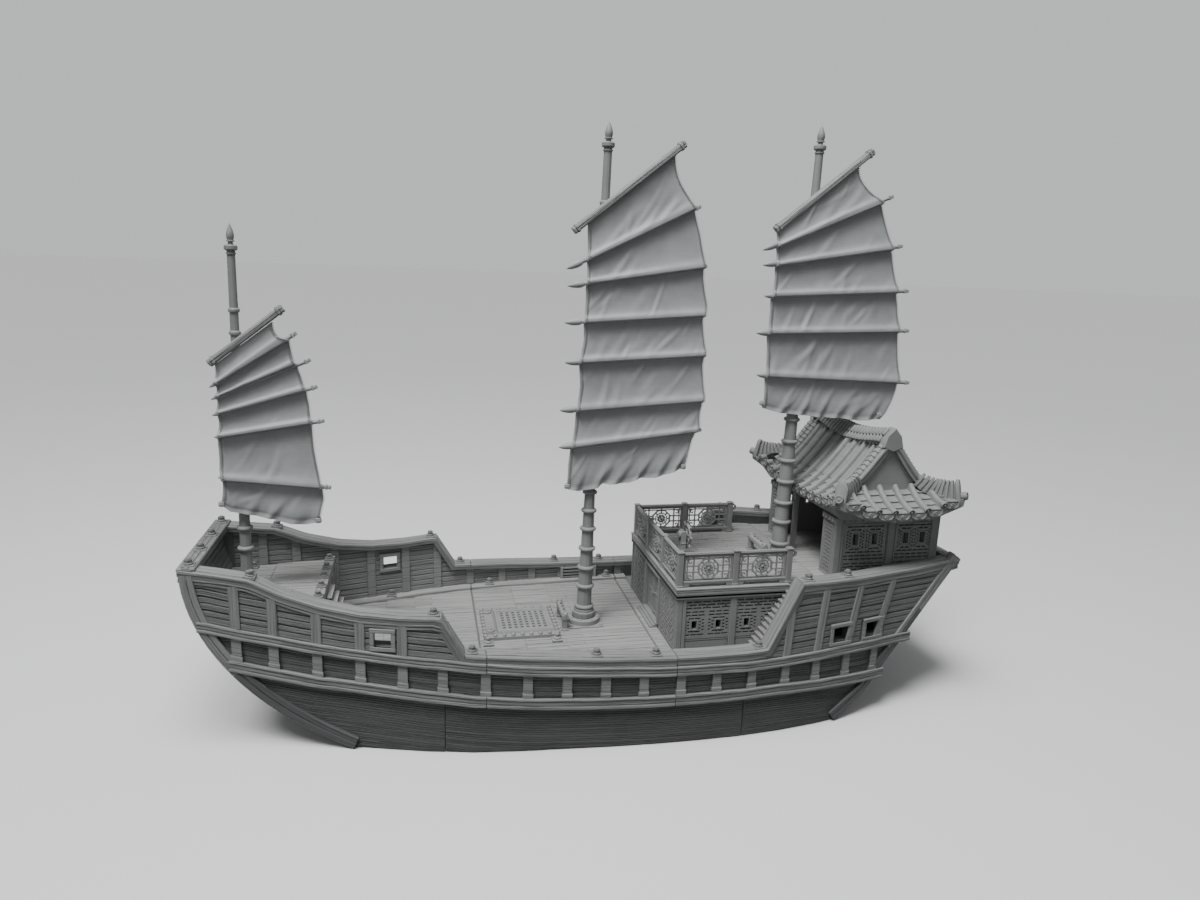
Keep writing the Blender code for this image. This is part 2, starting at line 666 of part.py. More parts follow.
def build_masts():
    """Masts with their rings and finials, each on an empty at its foot, then yard and sail on the same empty."""
    for name, x, z0, z1, rake, taper, rings in MASTS:
        empty = joint_empty(name + "_mast_axis", (x, 0, z0), (0, -math.radians(rake), 0))
        length = z1 - z0
        foot = taper[0][1]
        tip = taper[-1][1]
        profile = [(0, foot * 1.28), (2.5, foot * 1.18), (5.0, foot)]
        for d in rings:
            r = mast_radius(taper, d)
            bulge = RING_BULGE if d < length * 0.5 else RING_BULGE_HIGH
            profile += [(d - 1.7, r), (d, r + bulge), (d + 1.7, r)]
        profile += [(length - 3, tip), (length - 2.2, tip + 1.9), (length + 1.8, tip + 1.9), (length + 2.6, tip * 0.8),
                    (length + 5, tip * 0.55), (length + 8, tip * 0.95), (length + 10.5, tip * 0.95),
                    (length + FINIAL_HIGH, 0.5)]
        mast = turned(profile, MAST_SIDES, (0, 0, 0), (0, 0, 1))
        mast.transform(empty.matrix_world)
        add_piece(name + "_mast", mast, "mast_plastic", empty)
        build_sail(name, x, z0, rake, taper, empty)


def build_sail(name, x_foot, z_foot, rake, taper, empty):
    """Printed sail with its creases and battens, and the yard above it, on the port side of the mast."""
    spec = SAILS[name]

    def back_y(z):
        return mast_radius(taper, z - z_foot) + SAIL_CLEAR

    rows = []
    source = spec["rows"]
    for k, row in enumerate(source):
        rows.append((row[0], row[1], row[2], row[3], SAIL_VALLEY))
        if k < len(source) - 1:
            below = source[k + 1]
            mid = [(row[i] + below[i]) / 2 for i in range(4)]
            rows.append((mid[0] + 0.8, mid[1], mid[2] - 1.0, mid[3], SAIL_BULGE))
    rings = []
    for x0, za, x1, zb, swell in rows:
        ring = []
        for t in SAIL_COLUMNS:
            z = za + (zb - za) * t
            front = SAIL_EDGE if t in (0.0, 1.0) else swell * (1.0 if t == 0.5 else 0.8)
            ring.append((x0 + (x1 - x0) * t, back_y(z) + front, z))
        for t in reversed(SAIL_COLUMNS):
            z = za + (zb - za) * t
            ring.append((x0 + (x1 - x0) * t, back_y(z), z))
        rings.append(ring)
    pieces = [loft(rings, triangles=True)]
    for row in source:
        if row[4] is not None:
            xa, za, xb, zb = row[4]
            ya = back_y((za + zb) / 2) + BATTEN + 0.15
            length = math.dist((xa, za), (xb, zb))
            profile = [(0, BATTEN * 0.5), (3, BATTEN), (length, BATTEN)]
            pieces.append(turned(profile, 4, (xa, ya, za), (xb, ya, zb)))
    add_piece(name + "_sail", unite(pieces), "sail_plastic", empty)
    xa, za, xb, zb = spec["yard"]
    length = math.dist((xa, za), (xb, zb))
    mast_x = x_foot - math.tan(math.radians(rake)) * ((za + zb) / 2 - z_foot)
    crossing = za + (zb - za) * (mast_x - xa) / (xb - xa)
    ya = mast_radius(taper, crossing - z_foot) + spec["yard_gap"] + YARD_R
    profile = [(0, YARD_R * 0.8), (0.8, YARD_R * 1.3), (3, YARD_R * 1.3), (3.6, YARD_R), (length - 3.6, YARD_R),
               (length - 3, YARD_R * 1.3), (length - 0.8, YARD_R * 1.3), (length, YARD_R * 0.8)]
    add_piece(name + "_yard", turned(profile, 10, (xa, ya, za), (xb, ya, zb)), "mast_plastic", empty)


def build_castle():
    """Hollow castle: front wall with its double door, side walls with windows, stairs beside it."""
    z0 = DECK_Z + GAP
    x1, x0 = CASTLE_X
    front = box(x1 - WALL, x1, -CASTLE_Y, CASTLE_Y, z0, CASTLE_TOP)
    doorway = box(x1 - WALL - 5, x1 + 5, -DOOR_Y, DOOR_Y, DOOR_Z[0], DOOR_Z[1])
    add_piece("castle_front_wall", cut(front, [doorway]), "trim_plastic")
    for side, name in ((1, "port"), (-1, "starboard")):
        wall = box(x0, x1 - WALL - GAP, CASTLE_Y - WALL, CASTLE_Y, z0, CASTLE_TOP)
        half, low, high = CASTLE_WINDOW
        holes = [box(x - half, x + half, CASTLE_Y - 20, CASTLE_Y + 20, low, high) for x in CASTLE_WINDOWS]
        wall = cut(wall, holes)
        if side < 0:
            wall = mirrored(wall)
        add_piece("castle_side_wall_" + name, wall, "trim_plastic")
        door_x = x1 - WALL / 2
        empty = joint_empty("castle_door_axis_" + name, (door_x, side * DOOR_AXIS_Y, DOOR_Z[0] + GAP))
        inner, outer = sorted((side * GAP, side * DOOR_EDGE))
        leaf = box(door_x - DOOR_THICK / 2, door_x + DOOR_THICK / 2, inner, outer, DOOR_Z[0] + GAP, DOOR_Z[1] - GAP)
        add_piece("castle_door_" + name, leaf, "trim_plastic", empty)
        add_piece("castle_stairs_" + name, stairs(side), "deck_plastic")


def stairs(side):
    """Solid flight between the castle's wall and the bulwark."""
    z0 = DECK_Z + GAP
    xa, xb = STAIR_X
    rise = (QUARTER_Z - z0) / (STAIR_TREADS + 1)
    run = (xa - xb) / STAIR_TREADS
    outline = [(xa, z0)]
    for k in range(STAIR_TREADS):
        z = z0 + rise * (k + 1)
        outline += [(xa - run * k, z), (xa - run * (k + 1), z)]
    outline += [(xb, z0)]
    flight = side_prism(outline, CASTLE_Y + GAP, 150)
    limit = [(x, side_y(x) - SIDE_WALL - GAP) for x in (xa + 5, (xa + xb) / 2, xb - 5)]
    plan = plan_prism(limit + [(xb - 5, 0), (xa + 5, 0)], z0 - 5, QUARTER_Z + 5)
    deck_room = box(xb - 1, xa + 1, 0, QUARTER_Y + GAP, QUARTER_SPLIT_Z + 0.7, 150)
    flight = cut(common(flight, plan), [deck_room])
    return mirrored(flight) if side < 0 else flight


def build_quarterdeck():
    """Deck over the castle, as wide as the hull behind the stairs."""
    z0 = QUARTER_SPLIT_Z + 1.0
    clear = SIDE_WALL + GAP
    x1 = CASTLE_X[0] + 1.5
    xb = STAIR_X[1] - GAP
    aft = stern_x(QUARTER_Z) + END_WALL + GAP
    port = [(x1, QUARTER_Y), (xb, QUARTER_Y)]
    wide = [(xb, side_y(xb) - clear)] + [(x, side_y(x) - clear) for x in STATIONS if aft < x < xb - 1]
    wide.append((aft - 0.5, side_y(aft) - clear))
    port += wide
    plan = plan_prism(port + [(x, -y) for x, y in reversed(port)], z0, QUARTER_Z)
    back = END_WALL + GAP
    profile = [(0, z0 - 5), (0, QUARTER_Z + 5), (stern_x(QUARTER_Z + 5) + back, QUARTER_Z + 5),
               (stern_x(z0 - 5) + back, z0 - 5)]
    deck = common(plan, side_prism(profile, -120, 120))
    add_piece("quarterdeck", deck, "deck_plastic")


def rail_panel(length, high):
    """Openwork panel in its own plane: frame, cross bars and a rosette; returns (u, v) rectangles and a ring."""
    bar = 1.5
    cu = length / 2
    cv = high / 2
    r = min(cu, cv) * 0.52
    rects = [(0, length, 0, 2.2), (0, length, high - 2.2, high), (0, 2.0, 0, high), (length - 2.0, length, 0, high)]
    for v in (cv - 2.6, cv + 2.6):
        rects.append((0.5, length - 0.5, v - bar / 2, v + bar / 2))
    rects.append((cu - bar / 2, cu + bar / 2, 0.5, high - 0.5))
    return rects, (cu, cv, r)


def build_railings():
    """Posts with openwork panels round the quarterdeck's front."""
    z0 = QUARTER_Z + GAP
    foot = 3.4
    low = z0 + foot
    high = RAIL_TOP - 2.4 - low
    half = RAIL_POST / 2
    third = (2 * RAIL_SIDE_Y) / 3
    front_posts = [-RAIL_SIDE_Y, -RAIL_SIDE_Y + third, RAIL_SIDE_Y - third, RAIL_SIDE_Y]

    def post(x, y):
        return [box(x - half, x + half, y - half, y + half, z0, RAIL_TOP + 1.5)]

    def ring_mesh(centre, radius, normal):
        outer = turned([(-0.9, radius), (0.9, radius)], 8, centre, Vector(centre) + Vector(normal))
        hole = turned([(-3, radius - 1.7), (3, radius - 1.7)], 8, centre, Vector(centre) + Vector(normal))
        return cut(outer, [hole])

    front = []
    for a, b in zip(front_posts, front_posts[1:]):
        start = a + half - 0.3
        rects, (cu, cv, r) = rail_panel(b - a - 2 * half + 0.6, high)
        for u0, u1, v0, v1 in rects:
            front.append(box(RAIL_FRONT_X - 0.9, RAIL_FRONT_X + 0.9, start + u0, start + u1, low + v0, low + v1))
        front.append(ring_mesh((RAIL_FRONT_X, start + cu, low + cv), r, (1, 0, 0)))
    for y in front_posts[1:-1]:
        front.append(box(RAIL_FRONT_X - 2, RAIL_FRONT_X + 2, y - 2, y + 2, z0, RAIL_TOP))
    for y in (front_posts[0], front_posts[-1]):
        front += post(RAIL_FRONT_X, y)
    front.append(box(RAIL_FRONT_X - 2.2, RAIL_FRONT_X + 2.2, -RAIL_SIDE_Y, RAIL_SIDE_Y, RAIL_TOP - 2.6, RAIL_TOP))
    front.append(box(RAIL_FRONT_X - 1.6, RAIL_FRONT_X + 1.6, -RAIL_SIDE_Y, RAIL_SIDE_Y, low - 0.2, low + 2.2))
    add_piece("railing_front", unite(front), "trim_plastic")
    side_pieces = []
    starts = [RAIL_SIDE_X[0] - half - GAP, RAIL_SIDE_X[1]]
    ends = [RAIL_SIDE_X[1], RAIL_SIDE_X[2]]
    for x_front, x_back in zip(starts, ends):
        length = x_front - x_back
        rects, (cu, cv, r) = rail_panel(length, high)
        for u0, u1, v0, v1 in rects:
            side_pieces.append(box(x_back + u0, x_back + u1, RAIL_SIDE_Y - 0.9, RAIL_SIDE_Y + 0.9, low + v0, low + v1))
        side_pieces.append(ring_mesh((x_back + cu, RAIL_SIDE_Y, low + cv), r, (0, 1, 0)))
    for x in RAIL_SIDE_X[1:]:
        side_pieces += post(x, RAIL_SIDE_Y)
    x0 = RAIL_SIDE_X[2]
    x1 = starts[0]
    side_pieces.append(box(x0, x1, RAIL_SIDE_Y - 2.2, RAIL_SIDE_Y + 2.2, RAIL_TOP - 2.6, RAIL_TOP))
    side_pieces.append(box(x0, x1, RAIL_SIDE_Y - 1.6, RAIL_SIDE_Y + 1.6, low - 0.2, low + 2.2))
    mesh = unite(side_pieces)
    other = mirrored(mesh)
    add_piece("railing_port", mesh, "trim_plastic")
    add_piece("railing_starboard", other, "trim_plastic")


WHEEL_X = -80.0
WHEEL_Z = 126.5
WHEEL_R = 9.0


def build_helm():
    """Steering wheel on its stand behind the front railing."""
    z0 = QUARTER_Z + GAP
    stand = [box(WHEEL_X - 5, WHEEL_X + 5, -8, 8, z0, z0 + 2), box(WHEEL_X - 2.2, WHEEL_X + 2.2, -4, 4, z0, WHEEL_Z + 3.5)]
    add_piece("helm_stand", unite(stand), "trim_plastic")
    hub_x = WHEEL_X - 2.2 - GAP
    empty = joint_empty("helm_axis", (hub_x, 0, WHEEL_Z))
    rim = turned([(0.6, WHEEL_R), (2.8, WHEEL_R)], 16, (hub_x, 0, WHEEL_Z), (hub_x - 9, 0, WHEEL_Z))
    bore = turned([(-3, WHEEL_R - 2.0), (9, WHEEL_R - 2.0)], 16, (hub_x, 0, WHEEL_Z), (hub_x - 9, 0, WHEEL_Z))
    pieces = [cut(rim, [bore]), turned([(0, 2.2), (3.4, 2.2)], 8, (hub_x, 0, WHEEL_Z), (hub_x - 9, 0, WHEEL_Z))]
    for k in range(4):
        spoke = box(hub_x - 2.4, hub_x - 1.0, -WHEEL_R - 3.6, WHEEL_R + 3.6, WHEEL_Z - 0.7, WHEEL_Z + 0.7)
        turn = Matrix.Rotation(math.pi * k / 4, 4, "X")
        shift = Matrix.Translation(Vector((0, 0, WHEEL_Z)) * MM)
        pieces.append(moved(spoke, shift @ turn @ shift.inverted()))
    add_piece("helm_wheel", unite(pieces), "trim_plastic", empty)


def build_cabin():
    """Hollow cabin: side and aft walls with windows, two front piers and the door post."""
    z0 = QUARTER_Z + GAP
    x1, x0 = CABIN_X
    half, low, high = CABIN_WINDOW
    for side, name in ((1, "port"), (-1, "starboard")):
        wall = box(x0 + WALL + GAP, x1 - 6 - GAP, CABIN_Y - WALL, CABIN_Y, z0, CABIN_TOP)
        holes = [box(x - half, x + half, CABIN_Y - 20, CABIN_Y + 20, low, high) for x in CABIN_WINDOWS]
        wall = cut(wall, holes)
        pier = box(x1 - 6, x1, CABIN_Y - PIER_WIDE, CABIN_Y + 0.8, z0, CABIN_TOP)
        if side < 0:
            wall = mirrored(wall)
            pier = mirrored(pier)
        add_piece("cabin_side_wall_" + name, wall, "trim_plastic")
        add_piece("cabin_pier_" + name, pier, "trim_plastic")
    add_piece("cabin_aft_wall", box(x0, x0 + WALL, -CABIN_Y, CABIN_Y, z0, CABIN_TOP), "trim_plastic")
    add_piece("cabin_door_post", box(x1 - 5, x1 - 1, -17.5, -12.5, z0, CABIN_TOP), "trim_plastic")


def roof_height(u):
    """Height of the front and aft slopes at u, from 0 at the ridge to 1 at the eave."""
    return ROOF_EAVE_Z + (ROOF_TOP_Z - ROOF_EAVE_Z) * (1 - min(u, 1.0)) ** ROOF_CURVE


def roof_break(z):
    """The u where the slope reaches a height."""
    return 1 - ((z - ROOF_EAVE_Z) / (ROOF_TOP_Z - ROOF_EAVE_Z)) ** (1 / ROOF_CURVE)


def build_roof():
    """Hip-and-gable roof with upturned corners: the hipped lower part, the gabled top, the ridge and the bars."""
    rings = [hipped_ring(*row) for row in ROOF_RINGS]
    rings += [[(x, -y, z) for x, y, z in ring] for ring in rings[-2::-1]]
    top_u = roof_break(ROOF_SKIRT_Z)
    base_x = ROOF_HALF * top_u - 0.5
    half = [(base_x, ROOF_SKIRT_Z - 6), (base_x, ROOF_SKIRT_Z)]
    for f in (0.75, 0.5, 0.25, 0.0):
        half.append((ROOF_HALF * top_u * f, roof_height(top_u * f)))
    outline = [(ROOF_X + x, z) for x, z in half] + [(ROOF_X - x, z) for x, z in half[-2::-1]]
    ridge = []
    for y, z in RIDGE:
        ridge.append([(ROOF_X - 8, y, z - 14), (ROOF_X - 5, y, z - 2.5), (ROOF_X, y, z), (ROOF_X + 5, y, z - 2.5),
                      (ROOF_X + 8, y, z - 14)])
    pieces = [loft(rings, triangles=True), side_prism(outline, -ROOF_GABLE_Y, ROOF_GABLE_Y), loft(ridge, triangles=True)]
    end_outline = [(ROOF_X + x, z) for x, z in RIDGE_END]
    for side in (1, -1):
        pieces.append(side_prism(end_outline, side * (ROOF_GABLE_Y - 4), side * (ROOF_GABLE_Y + 4.4)))
        for end in (1, -1):
            pieces.append(roof_bar(GABLE_BAR, side, end))
            pieces.append(roof_bar(HIP_BAR, side, end))
            pieces.append(bar_plate(side, end))
    add_piece("cabin_roof", unite(pieces), "roof_plastic")


def hipped_ring(y, skirt, corner):
    """Section of the hipped part at y: skirt runs from 0 at the gable to 1 at the side eave."""
    z_skirt = ROOF_SKIRT_Z + (ROOF_EAVE_Z - ROOF_SKIRT_Z) * (1 - (1 - skirt) ** 1.25)
    front = []
    for u in ROOF_SECTION:
        x, z = roof_point(u, corner)
        front.append((x, min(z, z_skirt + corner_rise(x / ROOF_HALF, corner))))
    under = front[0][1] - EAVE_THICK
    if y > ROOF_OVERHANG_Y:
        inner_x = 30.0
        inner_z = z_skirt + corner_rise(inner_x / ROOF_HALF, corner) - EAVE_THICK
        middle_z = z_skirt - EAVE_THICK
    else:
        inner_x = 41.0
        inner_z = middle_z = ROOF_UNDER
    section = front + [(-x, z) for x, z in front[-2::-1]]
    section += [(-front[0][0], under), (-inner_x, inner_z), (0, middle_z), (inner_x, inner_z), (front[0][0], under)]
    return [(ROOF_X + x, y, z) for x, z in section]


def corner_rise(u, corner):
    return CORNER_LIFT * corner**1.5 * u**3


def roof_point(u, corner):
    """Distance from the ridge and height of the tile bed at u on the front or aft slope."""
    return ROOF_HALF * u + ROOF_CORNER_OUT * corner**3 * u**2, roof_height(u) + corner_rise(u, corner)


def roof_bar(table, side, end):
    """Raised bar of tiles down the gable's edge or along the hip."""
    rings = []
    for u, y, corner, high in table:
        x, z = roof_point(u, corner)
        x = ROOF_X + end * x
        a = side * (y - BAR_HALF)
        b = side * (y + BAR_HALF)
        rings.append([(x, a, z - 3.5), (x, a, z + high), (x, b, z + high), (x, b, z - 3.5)])
    return loft(rings, triangles=True)


def bar_plate(side, end):
    """Six-sided plate that closes the lower end of a gable bar."""
    u, y, corner, high = GABLE_BAR[-1]
    x, z = roof_point(u, corner)
    outline = [(-6.5, -2.5), (-6.5, 5), (-3.5, 10.5), (3.5, 10.5), (6.5, 5), (6.5, -2.5)]
    rings = []
    for shift in (-1.4, 1.4):
        rings.append([(ROOF_X + end * (x + shift), side * (y + dy), z + dz) for dy, dz in outline])
    return loft(rings)


def clear_scene():
    for item in list(bpy.data.objects):
        bpy.data.objects.remove(item)


def main():
    clear_scene()
    build_hull()
    build_foredeck()
    build_hatch()
    build_mast_steps()
    fife_rail("main_fife_rail", 21.5, DECK_Z + GAP)
    fife_rail("mizzen_fife_rail", -148.5, QUARTER_Z + GAP)
    build_masts()
    build_castle()
    build_quarterdeck()
    build_railings()
    build_helm()
    build_cabin()
    build_roof()


main()
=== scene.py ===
"""Looks of the tabletop junk: a grey printed model of a three-masted ship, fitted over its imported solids.

Places and sizes are in millimetres and become metres where a mesh is made. X runs to the bow, Y to port and
Z up.
"""
import math

import bpy
import numpy as np
from mathutils import Matrix, Vector


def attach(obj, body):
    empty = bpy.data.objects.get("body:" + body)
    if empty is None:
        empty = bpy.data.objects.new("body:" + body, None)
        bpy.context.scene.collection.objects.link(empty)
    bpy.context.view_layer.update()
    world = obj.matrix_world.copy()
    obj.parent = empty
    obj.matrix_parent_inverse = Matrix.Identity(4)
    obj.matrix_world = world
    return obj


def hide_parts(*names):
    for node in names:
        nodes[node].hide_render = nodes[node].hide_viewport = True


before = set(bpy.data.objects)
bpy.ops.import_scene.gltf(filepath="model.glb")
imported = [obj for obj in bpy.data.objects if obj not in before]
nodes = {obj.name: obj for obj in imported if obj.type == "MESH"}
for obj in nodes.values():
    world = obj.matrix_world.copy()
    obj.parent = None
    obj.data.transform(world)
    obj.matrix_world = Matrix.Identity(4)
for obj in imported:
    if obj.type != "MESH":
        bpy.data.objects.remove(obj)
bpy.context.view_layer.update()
scene = bpy.context.scene

# The studio
# A pale floor that runs into an equally pale background and a soft box above the port side, near enough
# that it lights the mast heads most. The sky is darker below, so that little light comes back up.
FLOOR_R = 60.0
SKY = (0.80, 0.81, 0.82)
BACKGROUND = 0.80
SKY_LIGHT = 0.26
GROUND_LIGHT = 0.05
SUNS = [
    # name, the way to the light, angle of its face, strength
    ("overhead", (0.34, 0.26, 0.90), 18.0, 1.9),
    ("fill", (0.35, 0.85, 0.15), 60.0, 0.24),
]
SOFTBOX = ((0.22, 0.30, 1.20), (0.0, 0.0, 0.1), 0.6, 11.0)

CAMERA_PLACE = (0.1347, 0.6273, 0.3425)
CAMERA_TURN = (77.5419, -2.0275, 167.823)
CAMERA_LENS = 24.486

camera = bpy.data.objects.new("camera", bpy.data.cameras.new("camera"))
scene.collection.objects.link(camera)
camera.data.lens = CAMERA_LENS
camera.data.sensor_width = 36.0
camera.data.clip_start = 0.01
camera.location = CAMERA_PLACE
camera.rotation_euler = [math.radians(a) for a in CAMERA_TURN]
scene.camera = camera

for name, way, spread, strength in SUNS:
    light = bpy.data.lights.new(name, "SUN")
    light.angle = math.radians(spread)
    light.energy = strength
    lamp = bpy.data.objects.new(name, light)
    lamp.rotation_euler = Vector(way).to_track_quat("Z", "Y").to_euler()
    scene.collection.objects.link(lamp)
place, aim, size, power = SOFTBOX
light = bpy.data.lights.new("softbox", "AREA")
light.size = size
light.energy = power
lamp = bpy.data.objects.new("softbox", light)
lamp.location = place
lamp.rotation_euler = (Vector(place) - Vector(aim)).to_track_quat("Z", "Y").to_euler()
lamp.visible_camera = False
scene.collection.objects.link(lamp)


def put(tree, kind, sockets=None, **settings):
    """A shader node with its settings, and with each named socket linked or set."""
    made = tree.nodes.new("ShaderNode" + kind)
    for key, value in settings.items():
        setattr(made, key, value)
    for key, value in (sockets or {}).items():
        if isinstance(value, bpy.types.NodeSocket):
            tree.links.new(value, made.inputs[key])
        else:
            made.inputs[key].default_value = value
    return made


world = bpy.data.worlds.new("sky")
scene.world = world
world.use_nodes = True
tree = world.node_tree
up = put(tree, "SeparateXYZ", {"Vector": put(tree, "TexCoord").outputs["Generated"]}).outputs["Z"]
dome = put(tree, "MapRange", {"Value": up, "From Min": -0.1, "From Max": 0.35, "To Min": GROUND_LIGHT,
                              "To Max": SKY_LIGHT})
seen = put(tree, "LightPath").outputs["Is Camera Ray"]
power = put(tree, "Mix", {0: seen, 2: dome.outputs["Result"], 3: BACKGROUND})
tree.nodes["Background"].inputs["Color"].default_value = (*SKY, 1)
tree.links.new(power.outputs[0], tree.nodes["Background"].inputs["Strength"])

floor_paint = bpy.data.materials.new("floor_paint")
floor_paint.use_nodes = True
tree = floor_paint.node_tree
spread = put(tree, "TexNoise", {"Vector": put(tree, "TexCoord").outputs["Object"], "Scale": 3.0,
                                "Detail": 3.0})
shade = put(tree, "MapRange", {"Value": spread.outputs["Fac"], "To Min": 0.86, "To Max": 0.88})
tree.links.new(shade.outputs["Result"], tree.nodes["Principled BSDF"].inputs["Base Color"])
tree.nodes["Principled BSDF"].inputs["Roughness"].default_value = 0.8
ring = [(FLOOR_R * math.cos(k * math.pi / 24), FLOOR_R * math.sin(k * math.pi / 24), -0.0002)
        for k in range(48)]
mesh = bpy.data.meshes.new("floor")
mesh.from_pydata(ring, [], [list(range(48))])
mesh.materials.append(floor_paint)
floor = bpy.data.objects.new("floor", mesh)
floor.visible_diffuse = False
scene.collection.objects.link(floor)

# Lower hull sections
# Three printed sections that meet at upright seams. Their sides are planked along the sheer, with narrow
# seams between the planks, and the grey plastic shows its fine layers. Their grey is painted darker than the
# upper hull's: painted shade where the hull turns down, away from the light.
MM = 0.001
HULL_GREY = (0.205, 0.208, 0.209)
# Painted shade: the lower hull's grey is darker than the hull grey, for the shade on the down-turned lower
# hull.
LOWER_SHADE_GREY = (0.092, 0.094, 0.095)
# Painted shade: the lower tier of side planks, under the main wale, is darker for the wale's shadow.
BAND_SHADE_GREY = (0.125, 0.127, 0.128)
# Painted shade: the foot bands below the rail are as dark as the lower hull.
FOOT_SHADE_GREY = (0.095, 0.097, 0.098)
RAIL_GREY = (0.25, 0.253, 0.252)
LOWER_SPLITS = (120.5, -100.0)
BREADTH = [(298, 54), (255, 60.5), (207, 69.5), (162, 81), (107, 94.5), (13, 103), (-53, 105.5),
           (-113, 104), (-172, 96), (-228, 82), (-298, 65)]
STATIONS = np.arange(299.0, -330.0, -33.1)
LOWER_RAIL = [(266, 66.5), (241, 61), (207, 55), (152, 50), (100, 45.5), (54, 42), (-19, 40), (-65, 40),
              (-129, 40.5), (-185, 38), (-219, 37)]
RAIL_HIGH = 8.0
BOW_KNOTS = ((185.0, 0.0), (262.0, 30.0), (298.0, 85.0), (298.0, 132.5))
STERN_LINE = ((-297.5, 120.0), (-210.0, 20.0), (-182.0, 0.0))


def layer_group():
    """Fine printed layers across the height, and a slow mottle: outputs a height and a tone from 0 to 1."""
    tree = bpy.data.node_groups.new("printed_layers", "ShaderNodeTree")
    fine = tree.interface.new_socket("Layers per metre", in_out="INPUT", socket_type="NodeSocketFloat")
    fine.default_value = 2400.0
    tree.interface.new_socket("Height", in_out="OUTPUT", socket_type="NodeSocketFloat")
    tree.interface.new_socket("Tone", in_out="OUTPUT", socket_type="NodeSocketFloat")
    start = tree.nodes.new("NodeGroupInput")
    end = tree.nodes.new("NodeGroupOutput")
    place = put(tree, "TexCoord").outputs["Object"]
    parts = put(tree, "SeparateXYZ", {"Vector": place})
    z = put(tree, "Math", {0: parts.outputs["Z"], 1: start.outputs[0]}, operation="MULTIPLY")
    x = put(tree, "Math", {0: parts.outputs["X"], 1: 45.0}, operation="MULTIPLY")
    y = put(tree, "Math", {0: parts.outputs["Y"], 1: 45.0}, operation="MULTIPLY")
    flat = put(tree, "CombineXYZ", {"X": x.outputs[0], "Y": y.outputs[0], "Z": z.outputs[0]})
    lines = put(tree, "TexNoise", {"Vector": flat.outputs[0], "Scale": 1.0, "Detail": 2.0,
                                   "Roughness": 0.7})
    mottle = put(tree, "TexNoise", {"Vector": place, "Scale": 70.0, "Detail": 4.0, "Roughness": 0.6})
    grit = put(tree, "TexNoise", {"Vector": place, "Scale": 1500.0, "Detail": 2.0})
    height = put(tree, "Mix", {0: 0.3, 2: lines.outputs["Fac"], 3: grit.outputs["Fac"]})
    tone = put(tree, "Mix", {0: 0.6, 2: lines.outputs["Fac"], 3: mottle.outputs["Fac"]})
    tree.links.new(height.outputs[0], end.inputs["Height"])
    tree.links.new(tone.outputs[0], end.inputs["Tone"])
    return tree


def grain_group():
    """Cut wood grain along a board's run: outputs a height and a tone from 0 to 1."""
    tree = bpy.data.node_groups.new("cut_grain", "ShaderNodeTree")
    run = tree.interface.new_socket("Run", in_out="INPUT", socket_type="NodeSocketVector")
    run.default_value = (0, 0, 0)
    tree.interface.new_socket("Height", in_out="OUTPUT", socket_type="NodeSocketFloat")
    tree.interface.new_socket("Tone", in_out="OUTPUT", socket_type="NodeSocketFloat")
    start = tree.nodes.new("NodeGroupInput")
    end = tree.nodes.new("NodeGroupOutput")
    long = put(tree, "VectorMath", {0: start.outputs[0], 1: (13.0, 720.0, 3700.0)}, operation="MULTIPLY")
    streak = put(tree, "TexNoise", {"Vector": long.outputs[0], "Scale": 1.0, "Detail": 3.0,
                                    "Roughness": 0.62})
    crack = put(tree, "MapRange", {"Value": streak.outputs["Fac"], "From Min": 0.38, "From Max": 0.50})
    tree.links.new(crack.outputs["Result"], end.inputs["Height"])
    tree.links.new(streak.outputs["Fac"], end.inputs["Tone"])
    return tree


LAYERS = layer_group()
GRAIN = grain_group()


def plastic(name, grey, rough, grain=0.0, relief=0.00009, cut=0.0003):
    """Matte printed plastic; grain is how much cut wood grain shows along the boards' runs."""
    made = bpy.data.materials.new(name)
    made.use_nodes = True
    tree = made.node_tree
    shader = tree.nodes["Principled BSDF"]
    layers = put(tree, "Group", node_tree=LAYERS)
    tone = layers.outputs["Tone"]
    bump = put(tree, "Bump", {"Height": layers.outputs["Height"], "Distance": relief, "Strength": 0.8})
    if grain:
        run = put(tree, "Attribute", attribute_name="run")
        wood = put(tree, "Group", {"Run": run.outputs["Vector"]}, node_tree=GRAIN)
        tone = put(tree, "Mix", {0: grain, 2: tone, 3: wood.outputs["Height"]}).outputs[0]
        bump = put(tree, "Bump", {"Height": wood.outputs["Height"], "Distance": cut, "Strength": 0.9,
                                  "Normal": bump.outputs["Normal"]})
    low = tuple(c * 0.80 for c in grey)
    high = tuple(c * 1.12 for c in grey)
    reach = put(tree, "MapRange", {"Value": tone, "From Min": 0.25, "From Max": 0.75})
    mix = put(tree, "Mix", {0: reach.outputs["Result"], 6: (*low, 1), 7: (*high, 1)}, data_type="RGBA")
    tree.links.new(mix.outputs[2], shader.inputs["Base Color"])
    gloss = put(tree, "MapRange", {"Value": tone, "To Min": rough + 0.08, "To Max": rough - 0.06})
    tree.links.new(gloss.outputs["Result"], shader.inputs["Roughness"])
    tree.links.new(bump.outputs["Normal"], shader.inputs["Normal"])
    shader.inputs["IOR"].default_value = 1.46
    shader.inputs["Specular IOR Level"].default_value = 0.38
    return made


def headings(path):
    """Unit steps along a path."""
    steps = np.gradient(path, axis=0)
    return steps / np.linalg.norm(steps, axis=1)[:, None]


